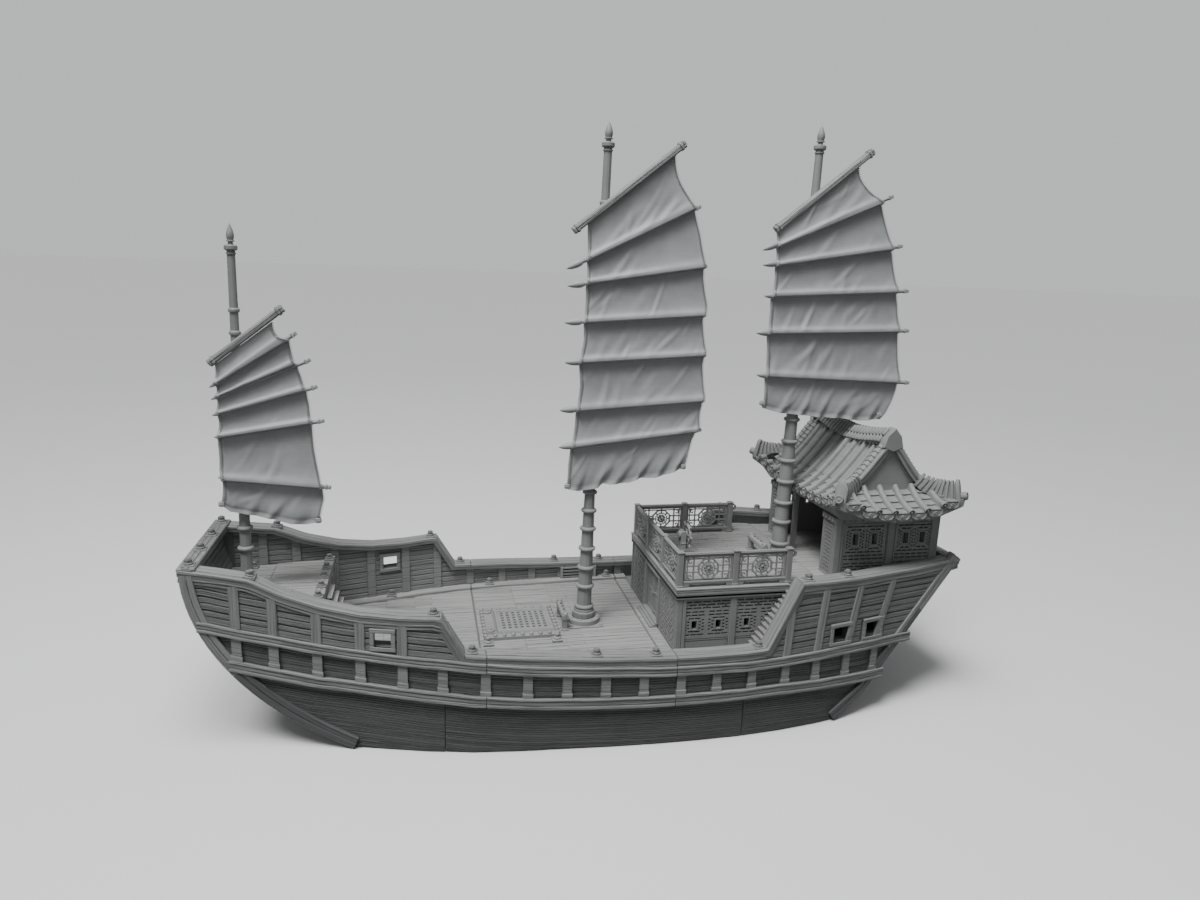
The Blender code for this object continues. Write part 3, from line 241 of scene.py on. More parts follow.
class Form:
    """Points and faces of one piece in millimetres; a run is along, across and the board's number."""

    def __init__(self):
        self.points = []
        self.runs = []
        self.faces = []
        self.count = 0

    def add(self, points, faces, runs=None):
        points = np.asarray(points, float).reshape(-1, 3)
        if runs is None:
            runs = np.stack([points[:, 0], points[:, 2] + points[:, 1], np.zeros(len(points))], 1)
        self.points.append(points)
        self.runs.append(np.asarray(runs, float).reshape(-1, 3))
        base = self.count
        self.faces += [tuple(i + base for i in face) for face in faces]
        self.count += len(points)

    def loft(self, rings, seed=0.0):
        """Closed bar through rings of equally many points."""
        rings = np.asarray(rings, float)
        r, n = rings.shape[:2]
        centre = rings.mean(1)
        along = np.concatenate([[0], np.cumsum(np.linalg.norm(np.diff(centre, axis=0), axis=1))])
        around = np.concatenate([np.zeros((r, 1)),
                                 np.cumsum(np.linalg.norm(np.diff(rings, axis=1), axis=2), 1)], 1)
        runs = np.stack([np.repeat(along[:, None], n, 1), around, np.full((r, n), seed)], 2)
        i, j = np.meshgrid(np.arange(r - 1) * n, np.arange(n), indexing="ij")
        k = (j + 1) % n
        quads = np.stack([i + j, i + n + j, i + n + k, i + k], 2).reshape(-1, 4)
        flat = rings.reshape(-1, 3)
        a, b, c, d = (flat[quads[:, m]] for m in range(4))
        middle = ((centre[:-1] + centre[1:]) / 2).repeat(n, 0)
        outward = np.einsum("ij,ij->i", np.cross(c - a, d - b), (a + b + c + d) / 4 - middle).sum() > 0
        caps = [list(range(n)), list(range((r - 1) * n, r * n))[::-1]]
        if not outward:
            quads = quads[:, ::-1]
            caps = [cap[::-1] for cap in caps]
        self.add(flat, quads.tolist() + caps, runs)

    def block(self, x, y, z, edge=0.3, turn=None, seed=0.0):
        """Box with its edges broken, from pairs of limits; turn is a matrix about its own middle."""
        (x0, x1), (y0, y1), (z0, z1) = sorted(x), sorted(y), sorted(z)
        edge = min(edge, (x1 - x0) / 2.5, (y1 - y0) / 2.5, (z1 - z0) / 2.5)
        rings = []
        for level, inset in ((z0, edge), (z0 + edge, 0), (z1 - edge, 0), (z1, edge)):
            a, b, c, d = x0 + inset, x1 - inset, y0 + inset, y1 - inset
            e = edge
            rings.append([(a + e, c, level), (b - e, c, level), (b, c + e, level), (b, d - e, level),
                          (b - e, d, level), (a + e, d, level), (a, d - e, level), (a, c + e, level)])
        rings = np.array(rings)
        if turn is not None:
            middle = np.array([(x0 + x1) / 2, (y0 + y1) / 2, (z0 + z1) / 2])
            rings = (rings - middle) @ np.array(turn.to_3x3()).T + middle
        self.loft(rings, seed)

    def turned(self, profile, sides, start, end):
        """Solid of revolution from (distance along, radius) pairs along an axis."""
        start = Vector(start)
        turn = Vector((0, 0, 1)).rotation_difference((Vector(end) - start).normalized()).to_matrix()
        angles = 2 * np.pi * (np.arange(sides) + 0.5) / sides
        rings = [np.stack([r * np.cos(angles), r * np.sin(angles), np.full(sides, d)], 1)
                 for d, r in profile]
        self.loft(np.array(rings) @ np.array(turn).T + np.array(start))

    def tube(self, path, radius, sides=6, seed=0.0):
        """Round bar along a path in space; radius may be one number or one for each point."""
        path = np.asarray(path, float)
        steps = headings(path)
        up = np.array([0, 0, 1.0]) if abs(steps[:, 2]).mean() < 0.8 else np.array([1.0, 0, 0])
        across = np.cross(steps, up)
        across /= np.linalg.norm(across, axis=1)[:, None]
        rise = np.cross(across, steps)
        angles = 2 * np.pi * (np.arange(sides) + 0.5) / sides
        reach = np.broadcast_to(np.asarray(radius, float), (len(path),))[:, None, None]
        rings = path[:, None] + reach * (across[:, None] * np.cos(angles)[None, :, None]
                                         + rise[:, None] * np.sin(angles)[None, :, None])
        self.loft(rings, seed)

    def mirror(self):
        """The same on the starboard side."""
        points = np.concatenate(self.points) * (1, -1, 1)
        runs = np.concatenate(self.runs) + (0, 0, 0.37)
        self.add(points, [face[::-1] for face in list(self.faces)], runs)

    def place(self, name, body, slot, material, stands_for=(), smooth=None):
        """Makes the mesh, and hangs it on its body."""
        mesh = bpy.data.meshes.new(name)
        mesh.from_pydata((np.concatenate(self.points) * MM).tolist(), [], self.faces)
        run = mesh.attributes.new("run", "FLOAT_VECTOR", "POINT")
        run.data.foreach_set("vector", (np.concatenate(self.runs) * MM).ravel())
        mesh.materials.append(material)
        if smooth is not None:
            mesh.shade_smooth()
            mesh.set_sharp_from_angle(angle=math.radians(smooth))
        piece = bpy.data.objects.new(name, mesh)
        scene.collection.objects.link(piece)
        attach(piece, body)
        if stands_for:
            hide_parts(*stands_for)
        return piece


def dress(material, *names):
    """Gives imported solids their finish."""
    for name in names:
        nodes[name].data.materials.clear()
        nodes[name].data.materials.append(material)


def hermite(table, x):
    """Smooth curve through a table of (x, value) points whose x falls."""
    xs = np.array([-p[0] for p in table], float)
    ys = np.array([p[1] for p in table], float)
    slopes = np.empty(len(xs))
    slopes[1:-1] = (ys[2:] - ys[:-2]) / (xs[2:] - xs[:-2])
    slopes[0] = (ys[1] - ys[0]) / (xs[1] - xs[0])
    slopes[-1] = (ys[-1] - ys[-2]) / (xs[-1] - xs[-2])
    u = np.clip(-x, xs[0], xs[-1])
    k = np.clip(np.searchsorted(xs, u, side="left") - 1, 0, len(xs) - 2)
    h = xs[k + 1] - xs[k]
    t = (u - xs[k]) / h
    return ((2 * t**3 - 3 * t**2 + 1) * ys[k] + (t**3 - 2 * t**2 + t) * h * slopes[k]
            + (3 * t**2 - 2 * t**3) * ys[k + 1] + (t**3 - t**2) * h * slopes[k + 1])


STATION_Y = hermite(BREADTH, STATIONS)


def side_y(x):
    """Half breadth of the faceted hull at x."""
    return np.interp(-np.asarray(x, float), -STATIONS, STATION_Y)


def height(table, x):
    return np.interp(-np.asarray(x, float), [-p[0] for p in table], [p[1] for p in table])


t = np.linspace(0, 1, 40)[:, None]
BOW_CURVE = ((1 - t)**3 * BOW_KNOTS[0] + 3 * (1 - t)**2 * t * np.array(BOW_KNOTS[1])
             + 3 * (1 - t) * t**2 * np.array(BOW_KNOTS[2]) + t**3 * np.array(BOW_KNOTS[3]))


def bow_x(z):
    return np.interp(z, BOW_CURVE[:, 1], BOW_CURVE[:, 0])


def stern_x(z):
    return np.interp(z, [p[1] for p in STERN_LINE[::-1]], [p[0] for p in STERN_LINE[::-1]])


def spots(x0, x1, step):
    """Places along the side, with all of the hull's stations between."""
    even = np.linspace(x0, x1, max(2, int(round((x1 - x0) / step)) + 1))
    inner = [s for s in STATIONS if x0 + 1 < s < x1 - 1]
    even = [x for x in even if all(abs(x - s) > 0.8 for s in inner) or x in (x0, x1)]
    return np.array(sorted(set(even) | set(inner)))


def waver(x, seed, size):
    """Small unevenness of a hand-cut edge."""
    slow = np.sin(x * 0.11 + seed * 2.1)
    return size * (slow + 0.6 * np.sin(x * 0.29 + seed * 4.7) + 0.5 * np.sin(x * 0.63 + seed))


def side_bar(form, x0, x1, low, high, profile, seed=0.0, step=9.0, rough=0.0):
    """Bar along the port side between two height functions; profile is (share of height, out) going up."""
    xs = spots(x0, x1, step)
    z0 = low(xs) + waver(xs, seed, rough)
    z1 = high(xs) + waver(xs, seed + 3, rough)
    rings = []
    for share, out in profile:
        lift = waver(xs, seed + 5 * share, rough * 0.8)
        rings.append(np.stack([xs, side_y(xs) + out + lift * 0.6, z0 + (z1 - z0) * share], 1))
    form.loft(np.stack(rings, 1), seed)


def plank_profile(out, seed, foot=-0.6):
    """Section of a plank with sharp edges and two fine cut lines at uneven heights."""
    one = 0.27 + 0.14 * math.sin(seed * 12.9)
    two = 0.68 + 0.12 * math.sin(seed * 7.3)
    return [(0, foot), (0, out - 0.15), (0.03, out), (one - 0.04, out + 0.04), (one, out - 0.55),
            (one + 0.05, out - 0.04), (two - 0.04, out + 0.03), (two, out - 0.5), (two + 0.05, out),
            (0.97, out), (1, out - 0.2), (1, foot)]


def planking(form, low, high, x0, x1, out, openings=(), seams=(), least=1.2, seed=0.0, rough=0.05,
             foot=-0.6, clear=4.0):
    """One plank along the side, left out where too thin, past bow or stern, in an opening or on a seam."""
    xs = np.arange(x0, x1 + 0.1, 2.0)
    z0 = low(xs)
    z1 = high(xs)
    middle = (z0 + z1) / 2
    good = (z1 - z0 > least) & (z0 > 0.3) & (xs < bow_x(middle) - clear) & (xs > stern_x(middle) + clear)
    for a, b, c, d in openings:
        good &= ~((xs > a) & (xs < b) & (z1 > c) & (z0 < d))
    for s in seams:
        good &= abs(xs - s) > 0.5
    start = None
    for k, ok in enumerate(list(good) + [False]):
        if ok and start is None:
            start = k
        if not ok and start is not None:
            a, b = xs[start], xs[k - 1]
            for s in seams:
                a = s + 0.45 if 0 < a - s < 2.6 else a
                b = s - 0.45 if 0 < s - b < 2.6 else b
            if b - a > 4:
                side_bar(form, a, b, low, high, plank_profile(out, seed, foot), seed, 9.0, rough)
            start = None


hull_finish = plastic("hull_plastic_plain", HULL_GREY, 0.56)
plank_finish = plastic("hull_plastic_planks", HULL_GREY, 0.56, 0.45)
# The lower hull solids and their planks get the darker grey as painted shade.
lower_shade_finish = plastic("hull_plastic_lower_painted_shade", LOWER_SHADE_GREY, 0.58, 0.45)
dress(lower_shade_finish, "lower_hull_bow", "lower_hull_mid", "lower_hull_stern")
LOWER_PITCH = 5.3
form = Form()
for k in range(13):
    def top(xs, k=k):
        return height(LOWER_RAIL, xs) - RAIL_HIGH - LOWER_PITCH * k - 0.3

    def foot(xs, k=k):
        return np.maximum(height(LOWER_RAIL, xs) - RAIL_HIGH - LOWER_PITCH * (k + 1), 0.6)

    planking(form, foot, top, -262, 290, 0.55, seams=LOWER_SPLITS, seed=k * 1.7, rough=0.05)
form.mirror()
form.place("lower_planks", "hull", "hull_plastic", lower_shade_finish)

# Upper hull sections
# Planked sides in two tiers between ribs, from the lower rail to the cap. The planks are cut back round
# the square windows, and stop at the upright seams of the three printed sections. The lower tier, under the
# main wale, is painted darker as painted shade.
UPPER_SPLITS = (92.0, -45.0)
CAP_THICK = 4.0
MAIN_WALE = [(285, 95.4), (260, 89.5), (219, 82), (192, 78), (151, 74.5), (124, 73), (54, 67), (-33, 63),
             (-111, 62), (-172, 64), (-241, 64)]
WALE_HIGH = 7.0
SHEER = [(298, 132.5), (275, 129.5), (252, 126), (231, 116), (205, 108), (178, 103.5), (151, 102.5),
         (123, 103.5), (107, 76), (60, 73.5), (13, 71), (-31, 69.5), (-75, 69), (-116, 69.5),
         (-141.5, 119.5), (-195, 118), (-250, 118), (-297.5, 120)]
RIBS = [262.5, 237.5, 208, 178.5, 149.5, 122, 92.5, 63, 35, 7, -21, -49, -76.5, -104.5, -132.5,
        -159.5, -188, -216]
HULL_WINDOWS = [(157.3, 168.7, 80.1, 90.7), (-187.5, -173.5, 68.0, 80.0), (-219.5, -205.0, 67.5, 79.5)]
UPPER_PITCH = 4.9
TIER_PITCH = 4.6


def line(table, shift=0.0):
    return lambda xs: height(table, xs) + shift


def capped(table, shift, ceiling, under):
    return lambda xs: np.minimum(height(table, xs) + shift, height(ceiling, xs) - under)


dress(hull_finish, "upper_hull_bow", "upper_hull_mid", "upper_hull_stern", "stern_bulwark")
frames = [(a - 3.3, b + 3.3, c - 3.3, d + 3.3) for a, b, c, d in HULL_WINDOWS]
form = Form()
for k in range(13):
    low = line(MAIN_WALE, UPPER_PITCH * k + 0.5)
    high = capped(MAIN_WALE, UPPER_PITCH * (k + 1) - 0.3 - 0.75 * (k % 2), SHEER, CAP_THICK + 2.5)
    for x0, x1 in ((104, 296), (-296, -118)):
        planking(form, low, high, x0, x1, 1.7, frames, UPPER_SPLITS, seed=k * 2.3 + x0 * 0.01)
form.mirror()
form.place("side_planks", "hull", "hull_plastic", plank_finish)

# Painted shade: the lower tier of planks gets a darker grey for the shadow under the main wale.
band_shade_finish = plastic("hull_plastic_band_painted_shade", BAND_SHADE_GREY, 0.58, 0.45)
form = Form()
for k in range(5):
    low = line(LOWER_RAIL, TIER_PITCH * k + 0.4)
    high = capped(LOWER_RAIL, TIER_PITCH * (k + 1) - 0.2, MAIN_WALE, WALE_HIGH - 0.5)
    planking(form, low, high, -262, 290, 0.7, (), UPPER_SPLITS, seed=k * 3.1 + 7)
form.mirror()
form.place("band_planks", "hull", "hull_plastic", band_shade_finish)

# Wales, rails and ribs
# Long moulded bars along the side, each with a lip over a flat and a second lip, and upright ribs between
# them with a block at the foot. They are printed with the hull.
WALE_STEPS = [
    # top of the lip under the edge, its foot, out
    (0.3, -1.5, 4.3), (-1.9, -4.4, 3.9), (-4.9, -7.2, 4.2),
]
RAIL_STEPS = [(0.4, -1.4, 4.5), (-1.9, -4.9, 3.9), (-5.3, -8.1, 4.1)]
STRAKE_STEPS = [(-4.1, -6.0, 3.0), (-6.5, -8.6, 2.5)]
LIP = [(0, -0.8), (0, 0.75), (0.25, 1.0), (0.75, 1.0), (1, 0.75), (1, -0.8)]

wale_finish = plastic("hull_plastic_rails", RAIL_GREY, 0.55, 0.5)
form = Form()
for table, steps, x0, x1 in ((MAIN_WALE, WALE_STEPS, -252, 288), (LOWER_RAIL, RAIL_STEPS, -227, 268)):
    for k, (up, down, out) in enumerate(steps):
        section = [(share, out - 1 + rise if rise > 0 else 2.4) for share, rise in LIP]
        for a, b in ((UPPER_SPLITS[0] + 0.4, x1), (UPPER_SPLITS[1] + 0.4, UPPER_SPLITS[0] - 0.4),
                     (x0, UPPER_SPLITS[1] - 0.4)):
            side_bar(form, a, b, line(table, down), line(table, up), section, k * 1.3 + a * 0.1, 7.0, 0.12)
for k, (up, down, out) in enumerate(STRAKE_STEPS):
    section = [(share, out - 1 + rise if rise > 0 else 0.2) for share, rise in LIP]
    for a, b in ((108, 296.5), (92.4, 106), (-44.6, 91.6), (-115, -45.4), (-294, -142.5)):
        side_bar(form, a, b, line(SHEER, down), line(SHEER, up), section, k * 1.9 + a * 0.1, 7.0, 0.12)
for k, x in enumerate(RIBS):
    wide = 3.3
    low = line(LOWER_RAIL, 0.2)
    high = line(MAIN_WALE, -WALE_HIGH)
    face = [(0, 1.2), (0, 2.7), (0.5, 2.85), (1, 2.7), (1, 1.2)]
    side_bar(form, x - wide, x + wide, low, high, face, k * 1.1, 2.2, 0.05)
    block = [(0, 1.2), (0, 3.3), (0.8, 3.3), (1, 2.9), (1, 1.2)]
    side_bar(form, x - wide - 0.5, x + wide + 0.5, low, line(LOWER_RAIL, 4.2), block, k * 1.1, 2.6, 0.03)
form.mirror()
form.place("wales_and_ribs", "hull", "hull_plastic", wale_finish)

# Ribs of the raised ends
# Upright ribs from the main wale to the cap at bow and stern; the stern's lean aft.
LEAN = {-132.5: 1.5, -159.5: 4.0, -188: 8.0, -216: 13.0}

form = Form()
for k, x in enumerate(RIBS):
    if not (k < 5 or x < -125):
        continue
    lean = LEAN.get(x, 0.0)
    z0 = float(height(MAIN_WALE, x)) + 0.2
    z1 = float(height(SHEER, x - lean)) - CAP_THICK - 2.0
    rings = []
    for s in np.linspace(0, 1, 7):
        shift = -lean * s
        z = z0 + (z1 - z0) * s
        wave = float(waver(z * 3, k, 0.1))
        ring = []
        for dx, out in ((-3.2, 0.9), (-3.3 + wave, 2.5), (-2.6 + wave, 2.85), (2.6 + wave, 2.85),
                        (3.3 + wave, 2.5), (3.2, 0.9)):
            px = x + shift + dx
            ring.append((px, float(side_y(px)) + out, z))
        rings.append(ring)
    form.loft(rings, k * 1.7)
form.mirror()
form.place("end_ribs", "hull", "hull_plastic", wale_finish)

# Window frames of the side
# Raised square frames with mitred boards round each opening, printed with the hull.
form = Form()
for x0, x1, z0, z1 in HULL_WINDOWS:
    outer = 3.2
    for a, b, c, d in ((x0 - outer, x1 + outer, z1, z1 + outer), (x0 - outer, x1 + outer, z0 - outer, z0),
                       (x0 - outer + 0.1, x0, z0 - outer + 0.1, z1 + outer - 0.1),
                       (x1, x1 + outer - 0.1, z0 - outer + 0.1, z1 + outer - 0.1)):
        tall = d - c > 5
        out = 3.1 if tall else 3.25
        rings = []
        for px in (a, a + 0.4, b - 0.4, b):
            cut = 0.35 if px in (a, b) else 0.0
            y = float(side_y(px))
            rings.append([(px, y + 1.0, c + cut), (px, y + out - 0.35 - cut, c + cut),
                          (px, y + out - cut, c + 0.4), (px, y + out - cut, d - 0.4),
                          (px, y + out - 0.35 - cut, d - cut), (px, y + 1.0, d - cut)])
        form.loft(rings, a)
form.mirror()
form.place("side_window_frames", "hull", "hull_plastic", wale_finish)

# Cap rail
# Broad boards along the top of the side with cut grain, joined end to end at the printed seams, with a
# narrow board that covers each joint.
form = Form()
CAP_STRIPS = ((-11.8, -8.0, 0.5), (-7.3, -0.9, 0.85), (-0.2, 3.4, 0.5))
CAP_RUNS = [(298.3, 107.3), (106.6, 92.4), (91.6, -44.6), (-45.4, -116.2), (-141.8, -298.0)]
for x1, x0 in CAP_RUNS:
    xs = spots(x0, x1, 5.0)
    z = height(SHEER, xs)
    lift = np.sqrt(1 + np.gradient(z, xs)**2)
    for inner, outer, rise in CAP_STRIPS:
        rings = []
        for dy, dz in ((inner, -1.4), (inner, rise * 0.4), (inner + 0.3, rise), (outer - 0.3, rise),
                       (outer, rise * 0.4), (outer, -1.4)):
            side_wave = waver(xs, inner + x0, 0.07)
            rings.append(np.stack([xs, side_y(xs) + dy + side_wave, z + dz * lift], 1))
        form.loft(np.stack(rings, 1), inner * 1.7 + x0)
for xa, za, xb, zb in ((123.3, 103.7, 107.0, 76.4), (-116.2, 69.9, -141.3, 119.4)):
    for inner, outer, rise in CAP_STRIPS:
        rings = []
        slope = np.array([xb - xa, 0, zb - za]) / math.hypot(xb - xa, zb - za)
        away = np.array([slope[2], 0, -slope[0]])
        away = away if away[2] > 0 else -away
        for s in np.linspace(0, 1, 9):
            px = xa + (xb - xa) * s
            base = np.array([px, float(side_y(px)), za + (zb - za) * s])
            ring = []
            for dy, dn in ((inner, -1.0), (inner, rise * 0.4), (inner + 0.3, rise), (outer - 0.3, rise),
                           (outer, rise * 0.4), (outer, -1.0)):
                ring.append(base + away * dn + (0, dy, 0))
            rings.append(ring)
        form.loft(rings, inner * 2.3 + xa)
form.mirror()
for k, (x0, x1) in enumerate(((287.4, 291.2), (291.5, 295.0), (295.3, 299.0))):
    form.block((x0, x1), (-56.5, 56.5), (131.5, 133.9 + 0.1 * (k % 2)), 0.35, seed=k)
for k, (x0, x1) in enumerate(((-298.3, -294.6), (-294.3, -291.0), (-290.7, -288.3))):
    form.block((x0, x1), (-66.5, 66.5), (118.5, 121.1 + 0.1 * (k % 2)), 0.35, seed=k)
form.place("cap_rail", "hull", "hull_plastic", wale_finish)

# Stem and stern bands
# Broad upright bands where the side ends at bow and stern, made of two boards side by side; below the
# rail they belong to the lower sections, and there they are painted darker as painted shade, like the lower
# hull.
# Painted shade: below the rail the bands get the lower hull's darker grey.
foot_shade_finish = plastic("hull_plastic_foot_painted_shade", FOOT_SHADE_GREY, 0.58, 0.5)
upper = Form()
lower = Form()
STERN_PATH = np.array([(-297.0, 119.0), (-281.0, 101.1), (-262.5, 80.0), (-236.0, 49.7), (-210.0, 20.0),
                       (-182.0, 0.6)])
BAND_BREAK_Z = 52.0
for path, insides in ((BOW_CURVE[::2], ((0.2, 5.0), (5.4, 9.6))), (STERN_PATH, ((0.2, 4.5), (4.9, 8.6)))):
    steps = headings(path)
    inward = np.stack([-steps[:, 1], steps[:, 0]], 1)
    for near, far in insides:
        rings = []
        for p, n in zip(path, inward):
            ring = []
            for share, out in ((0, 1.0), (0, 2.9), (0.08, 3.25), (0.92, 3.25), (1, 2.9), (1, 1.0)):
                q = p + n * (near + (far - near) * share)
                ring.append((q[0], float(side_y(q[0])) + out, max(q[1], 0.3)))
            rings.append(ring)
        rings = np.array(rings)
        high = rings[:, 0, 2] > BAND_BREAK_Z
        upper.loft(rings[high], near)
        below = np.flatnonzero(~high)
        joint = below[0] - 1 if below[0] else below[-1] + 1
        lower.loft(rings[sorted([*below, joint])], near + 1)
upper.mirror()
upper.place("stem_and_stern_bands", "hull", "hull_plastic", wale_finish)
lower.mirror()
lower.place("foot_bands", "hull", "hull_plastic", foot_shade_finish)

# Bow face and transom
# The blunt bow and the raked transom, planked from side to side between the two bands.
CROSS_PLANK = [(0, -0.8), (0, 0.2), (0.07, 0.6), (0.5, 0.55), (0.93, 0.6), (1, 0.2), (1, -0.8)]
BOW_STEP = 4.6
STERN_STEP = 4.9
STERN_BEND = 19.6


def cross_plank(form, x_at, low, top, half, way, section, seed, row=None, back=0.0, count=15):
    """Plank from side to side on a face whose x is a function of z; way 1 faces the bow, -1 aft."""
    rings = []
    for y in np.linspace(-half, half, count):
        wave = 0.0 if row is None else float(waver(y + 60, row, 0.08))
        a = np.array([float(x_at(low)) - back, y, low + wave])
        b = np.array([float(x_at(top)) - back, y, top + wave])
        n = np.array([b[2] - a[2], 0, a[0] - b[0]]) * way / math.hypot(b[2] - a[2], b[0] - a[0])
        rings.append([a + (b - a) * share + n * out for share, out in section])
    form.loft(rings, seed)


form = Form()
z = 3.0
k = 0
while z < 127:
    half = float(side_y(bow_x(z + 2))) - 0.6
    cross_plank(form, bow_x, z, min(z + BOW_STEP - 0.5, 128.0), half, 1, CROSS_PLANK, k * 1.9, k)
    z += BOW_STEP
    k += 1
z = 2.0
while z < 116:
    top = STERN_BEND if z < 20 < z + 4.4 else min(z + 4.4, 117.0)
    half = float(side_y(stern_x(z + 2))) - 0.4
    cross_plank(form, stern_x, z, top, half, -1, CROSS_PLANK, k * 1.3, k)
    z = top + 0.5 if top == STERN_BEND else z + STERN_STEP
    k += 1
form.place("bow_and_transom_planks", "hull", "hull_plastic", plank_finish)

# Inside of the bulwark
# Planks, ribs and a low ledge inside the side above the main deck, with the inner window frames and the
# short ladder on the starboard side.
DECK_Z = 52.5
DECK_TOP = 52.8
SIDE_WALL = 7.0
INNER_PITCH = 4.7


def inner_bar(form, x0, x1, low, high, profile, seed, step=9.0, rough=0.0):
    """As side_bar, on the inner face: out is how far it stands into the ship."""
    side_bar(form, x0, x1, low, high, [(share, -SIDE_WALL - out) for share, out in profile], seed, step,
             rough)


INNER_RUNS = ((94.0, 284.0, 17), (-43.5, 90.5, 5), (-55.0, -46.5, 5))
INNER_SHAPE = [(0, -0.8), (0, 0.45), (0.1, 0.85), (0.45, 0.9), (0.5, 0.6), (0.55, 0.85), (0.9, 0.85),
               (1, 0.45), (1, -0.8)]
LEDGE = [(300, DECK_Z + 3.2), (-300, DECK_Z + 3.2)]

form = Form()
for x0, x1, count in INNER_RUNS:
    for k in range(count):
        low = line(LEDGE, INNER_PITCH * k)
        high = capped(LEDGE, INNER_PITCH * (k + 1) - 0.55, SHEER, CAP_THICK)
        xs = np.arange(x0, x1 + 0.1, 2.0)
        good = (high(xs) - low(xs) > 1.2) & (xs < bow_x(high(xs)) - 5.4)
        for a, b, c, d in frames:
            good &= ~((xs > a) & (xs < b) & (high(xs) > c) & (low(xs) < d))
        start = None
        for n, ok in enumerate(list(good) + [False]):
            if ok and start is None:
                start = n
            if not ok and start is not None:
                if xs[n - 1] - xs[start] > 4:
                    inner_bar(form, xs[start], xs[n - 1], low, high, INNER_SHAPE, k * 2.7 + x0, 9.0, 0.1)
                start = None
for k, x in enumerate(RIBS):
    if x < -60:
        continue
    inner_bar(form, x - 3.2, x + 3.2, line(LEDGE, -2.2), line(SHEER, -CAP_THICK),
              [(0, 0), (0, 2.0), (0.5, 2.3), (1, 2.0), (1, 0)], k, 2.2, 0.05)
x0, x1, z0, z1 = HULL_WINDOWS[0]
for a, b, c, d, out in ((x0 - 3, x1 + 3, z1, z1 + 3, 2.2), (x0 - 3, x1 + 3, z0 - 3, z0, 2.2),
                        (x0 - 2.9, x0, z0 - 2.9, z1 + 2.9, 2.05), (x1, x1 + 2.9, z0 - 2.9, z1 + 2.9, 2.05)):
    inner_bar(form, a, b, lambda xs, c=c: np.full(len(xs), c), lambda xs, d=d: np.full(len(xs), d),
              [(0, 0), (0, out - 0.3), (0.1, out), (0.9, out), (1, out - 0.3), (1, 0)], a, 3.0)
form.mirror()
for k in range(5):
    z = DECK_Z + 0.7 + 2.9 * k
    rings = []
    for x in (-24.5, -16, -5, 5.5):
        y = -(float(side_y(x)) - SIDE_WALL - 0.5)
        rings.append([(x, y, z), (x, y + 5.2, z + 0.2), (x, y + 5.2, z + 1.5), (x, y, z + 1.5)])
    form.loft(rings, k)
for x in (-25.6, 6.4):
    y = -(float(side_y(x)) - SIDE_WALL - 0.3)
    form.block((x - 1.3, x + 1.3), (y, y + 6.0), (DECK_Z + 0.2, DECK_Z + 14.5), 0.4)
form.place("bulwark_inside", "hull", "hull_plastic", wale_finish)

# Bollards
# A square plate with a domed head and a small knob, printed on the cap rail, on the ledges and at the
# corners of the bow.
GUNWALE_BOLLARDS = [(252, 4), (128, 4), (101.6, 4.5), (13.3, 4.5), (-30.6, 4.5), (-111, 4), (-149, 4),
                    (-185, 4)]
LEDGE_BOLLARDS = [75.0, 162.0, -37.0]
BOW_BOLLARDS = (-49.3, -16.4, 16.4, 49.3)
HEAD = [(0, 2.9), (0.6, 3.15), (1.5, 3.15), (1.9, 2.8), (2.1, 1.6), (2.7, 1.25), (3.0, 1.3), (3.4, 1.8),
        (4.2, 1.9), (4.8, 1.5), (5.1, 0.3)]


def bollard(form, x, y, z, size=1.0, slope=0.0):
    """Plate, head and knob; slope tips it along the ship."""
    turn = Matrix.Rotation(slope, 4, "Y")
    half = 4.15 * size
    form.block((x - half, x + half), (y - half, y + half), (z - 0.3, z + 1.45), 0.35, turn)
    up = turn @ Vector((0, 0, 1))
    foot = Vector((x, y, z + 0.9))
    form.turned([(d * size, r * size) for d, r in HEAD], 14, foot, foot + up)


form = Form()
for x, inset in GUNWALE_BOLLARDS:
    slope = -math.atan(float(height(SHEER, x + 3) - height(SHEER, x - 3)) / 6)
    bollard(form, x, float(side_y(x)) - inset, float(height(SHEER, x)), 1.0, slope)
for x in LEDGE_BOLLARDS:
    bollard(form, x, float(side_y(x)) - SIDE_WALL - 4.6, DECK_Z + 3)
form.mirror()
for y in BOW_BOLLARDS:
    bollard(form, 292.5, y, 133.3)
form.place("bollards", "hull", "hull_plastic", hull_finish, smooth=40)

# Main deck
# Fore and aft boards laid on the hull's deck between the ledges, with cut grain, butt joints in rows and
# the two seams of the printed sections across.
DECK_GREY = (0.315, 0.318, 0.312)
BOARD = 6.15
LEDGE_IN = 15.0
DECK_BUTTS = (166.0, 128.0, 56.0, 9.5)
BOARD_SHAPE = [(0, -0.35), (0.01, 0.3), (0.04, 0.5), (0.96, 0.5), (0.99, 0.3), (1, -0.35)]


def board(form, x0, x1, y0, y1, z, seed, limit=None, crack=True):
    """Deck board along the ship; limit is the greatest y at x, for boards that are cut along the side."""
    xs = np.linspace(x0, x1, max(3, int((x1 - x0) / 9) + 1))
    a = y0 + waver(xs, seed, 0.05)
    b = y1 + waver(xs, seed + 2, 0.05)
    if limit is not None:
        b = np.minimum(b, limit(xs))
        keep = b - a > 0.7
        if keep.sum() < 2:
            return
        xs, a, b = xs[keep], a[keep], b[keep]
    shape = list(BOARD_SHAPE)
    if crack:
        c = 0.25 + 0.5 * (math.sin(seed * 9.1) * 0.5 + 0.5)
        shape = shape[:3] + [(c - 0.03, 0.5), (c, 0.1), (c + 0.03, 0.5)] + shape[3:]
    rings = [np.stack([xs, a + (b - a) * s, np.full(len(xs), z + h)], 1) for s, h in shape]
    form.loft(np.stack(rings, 1), seed)


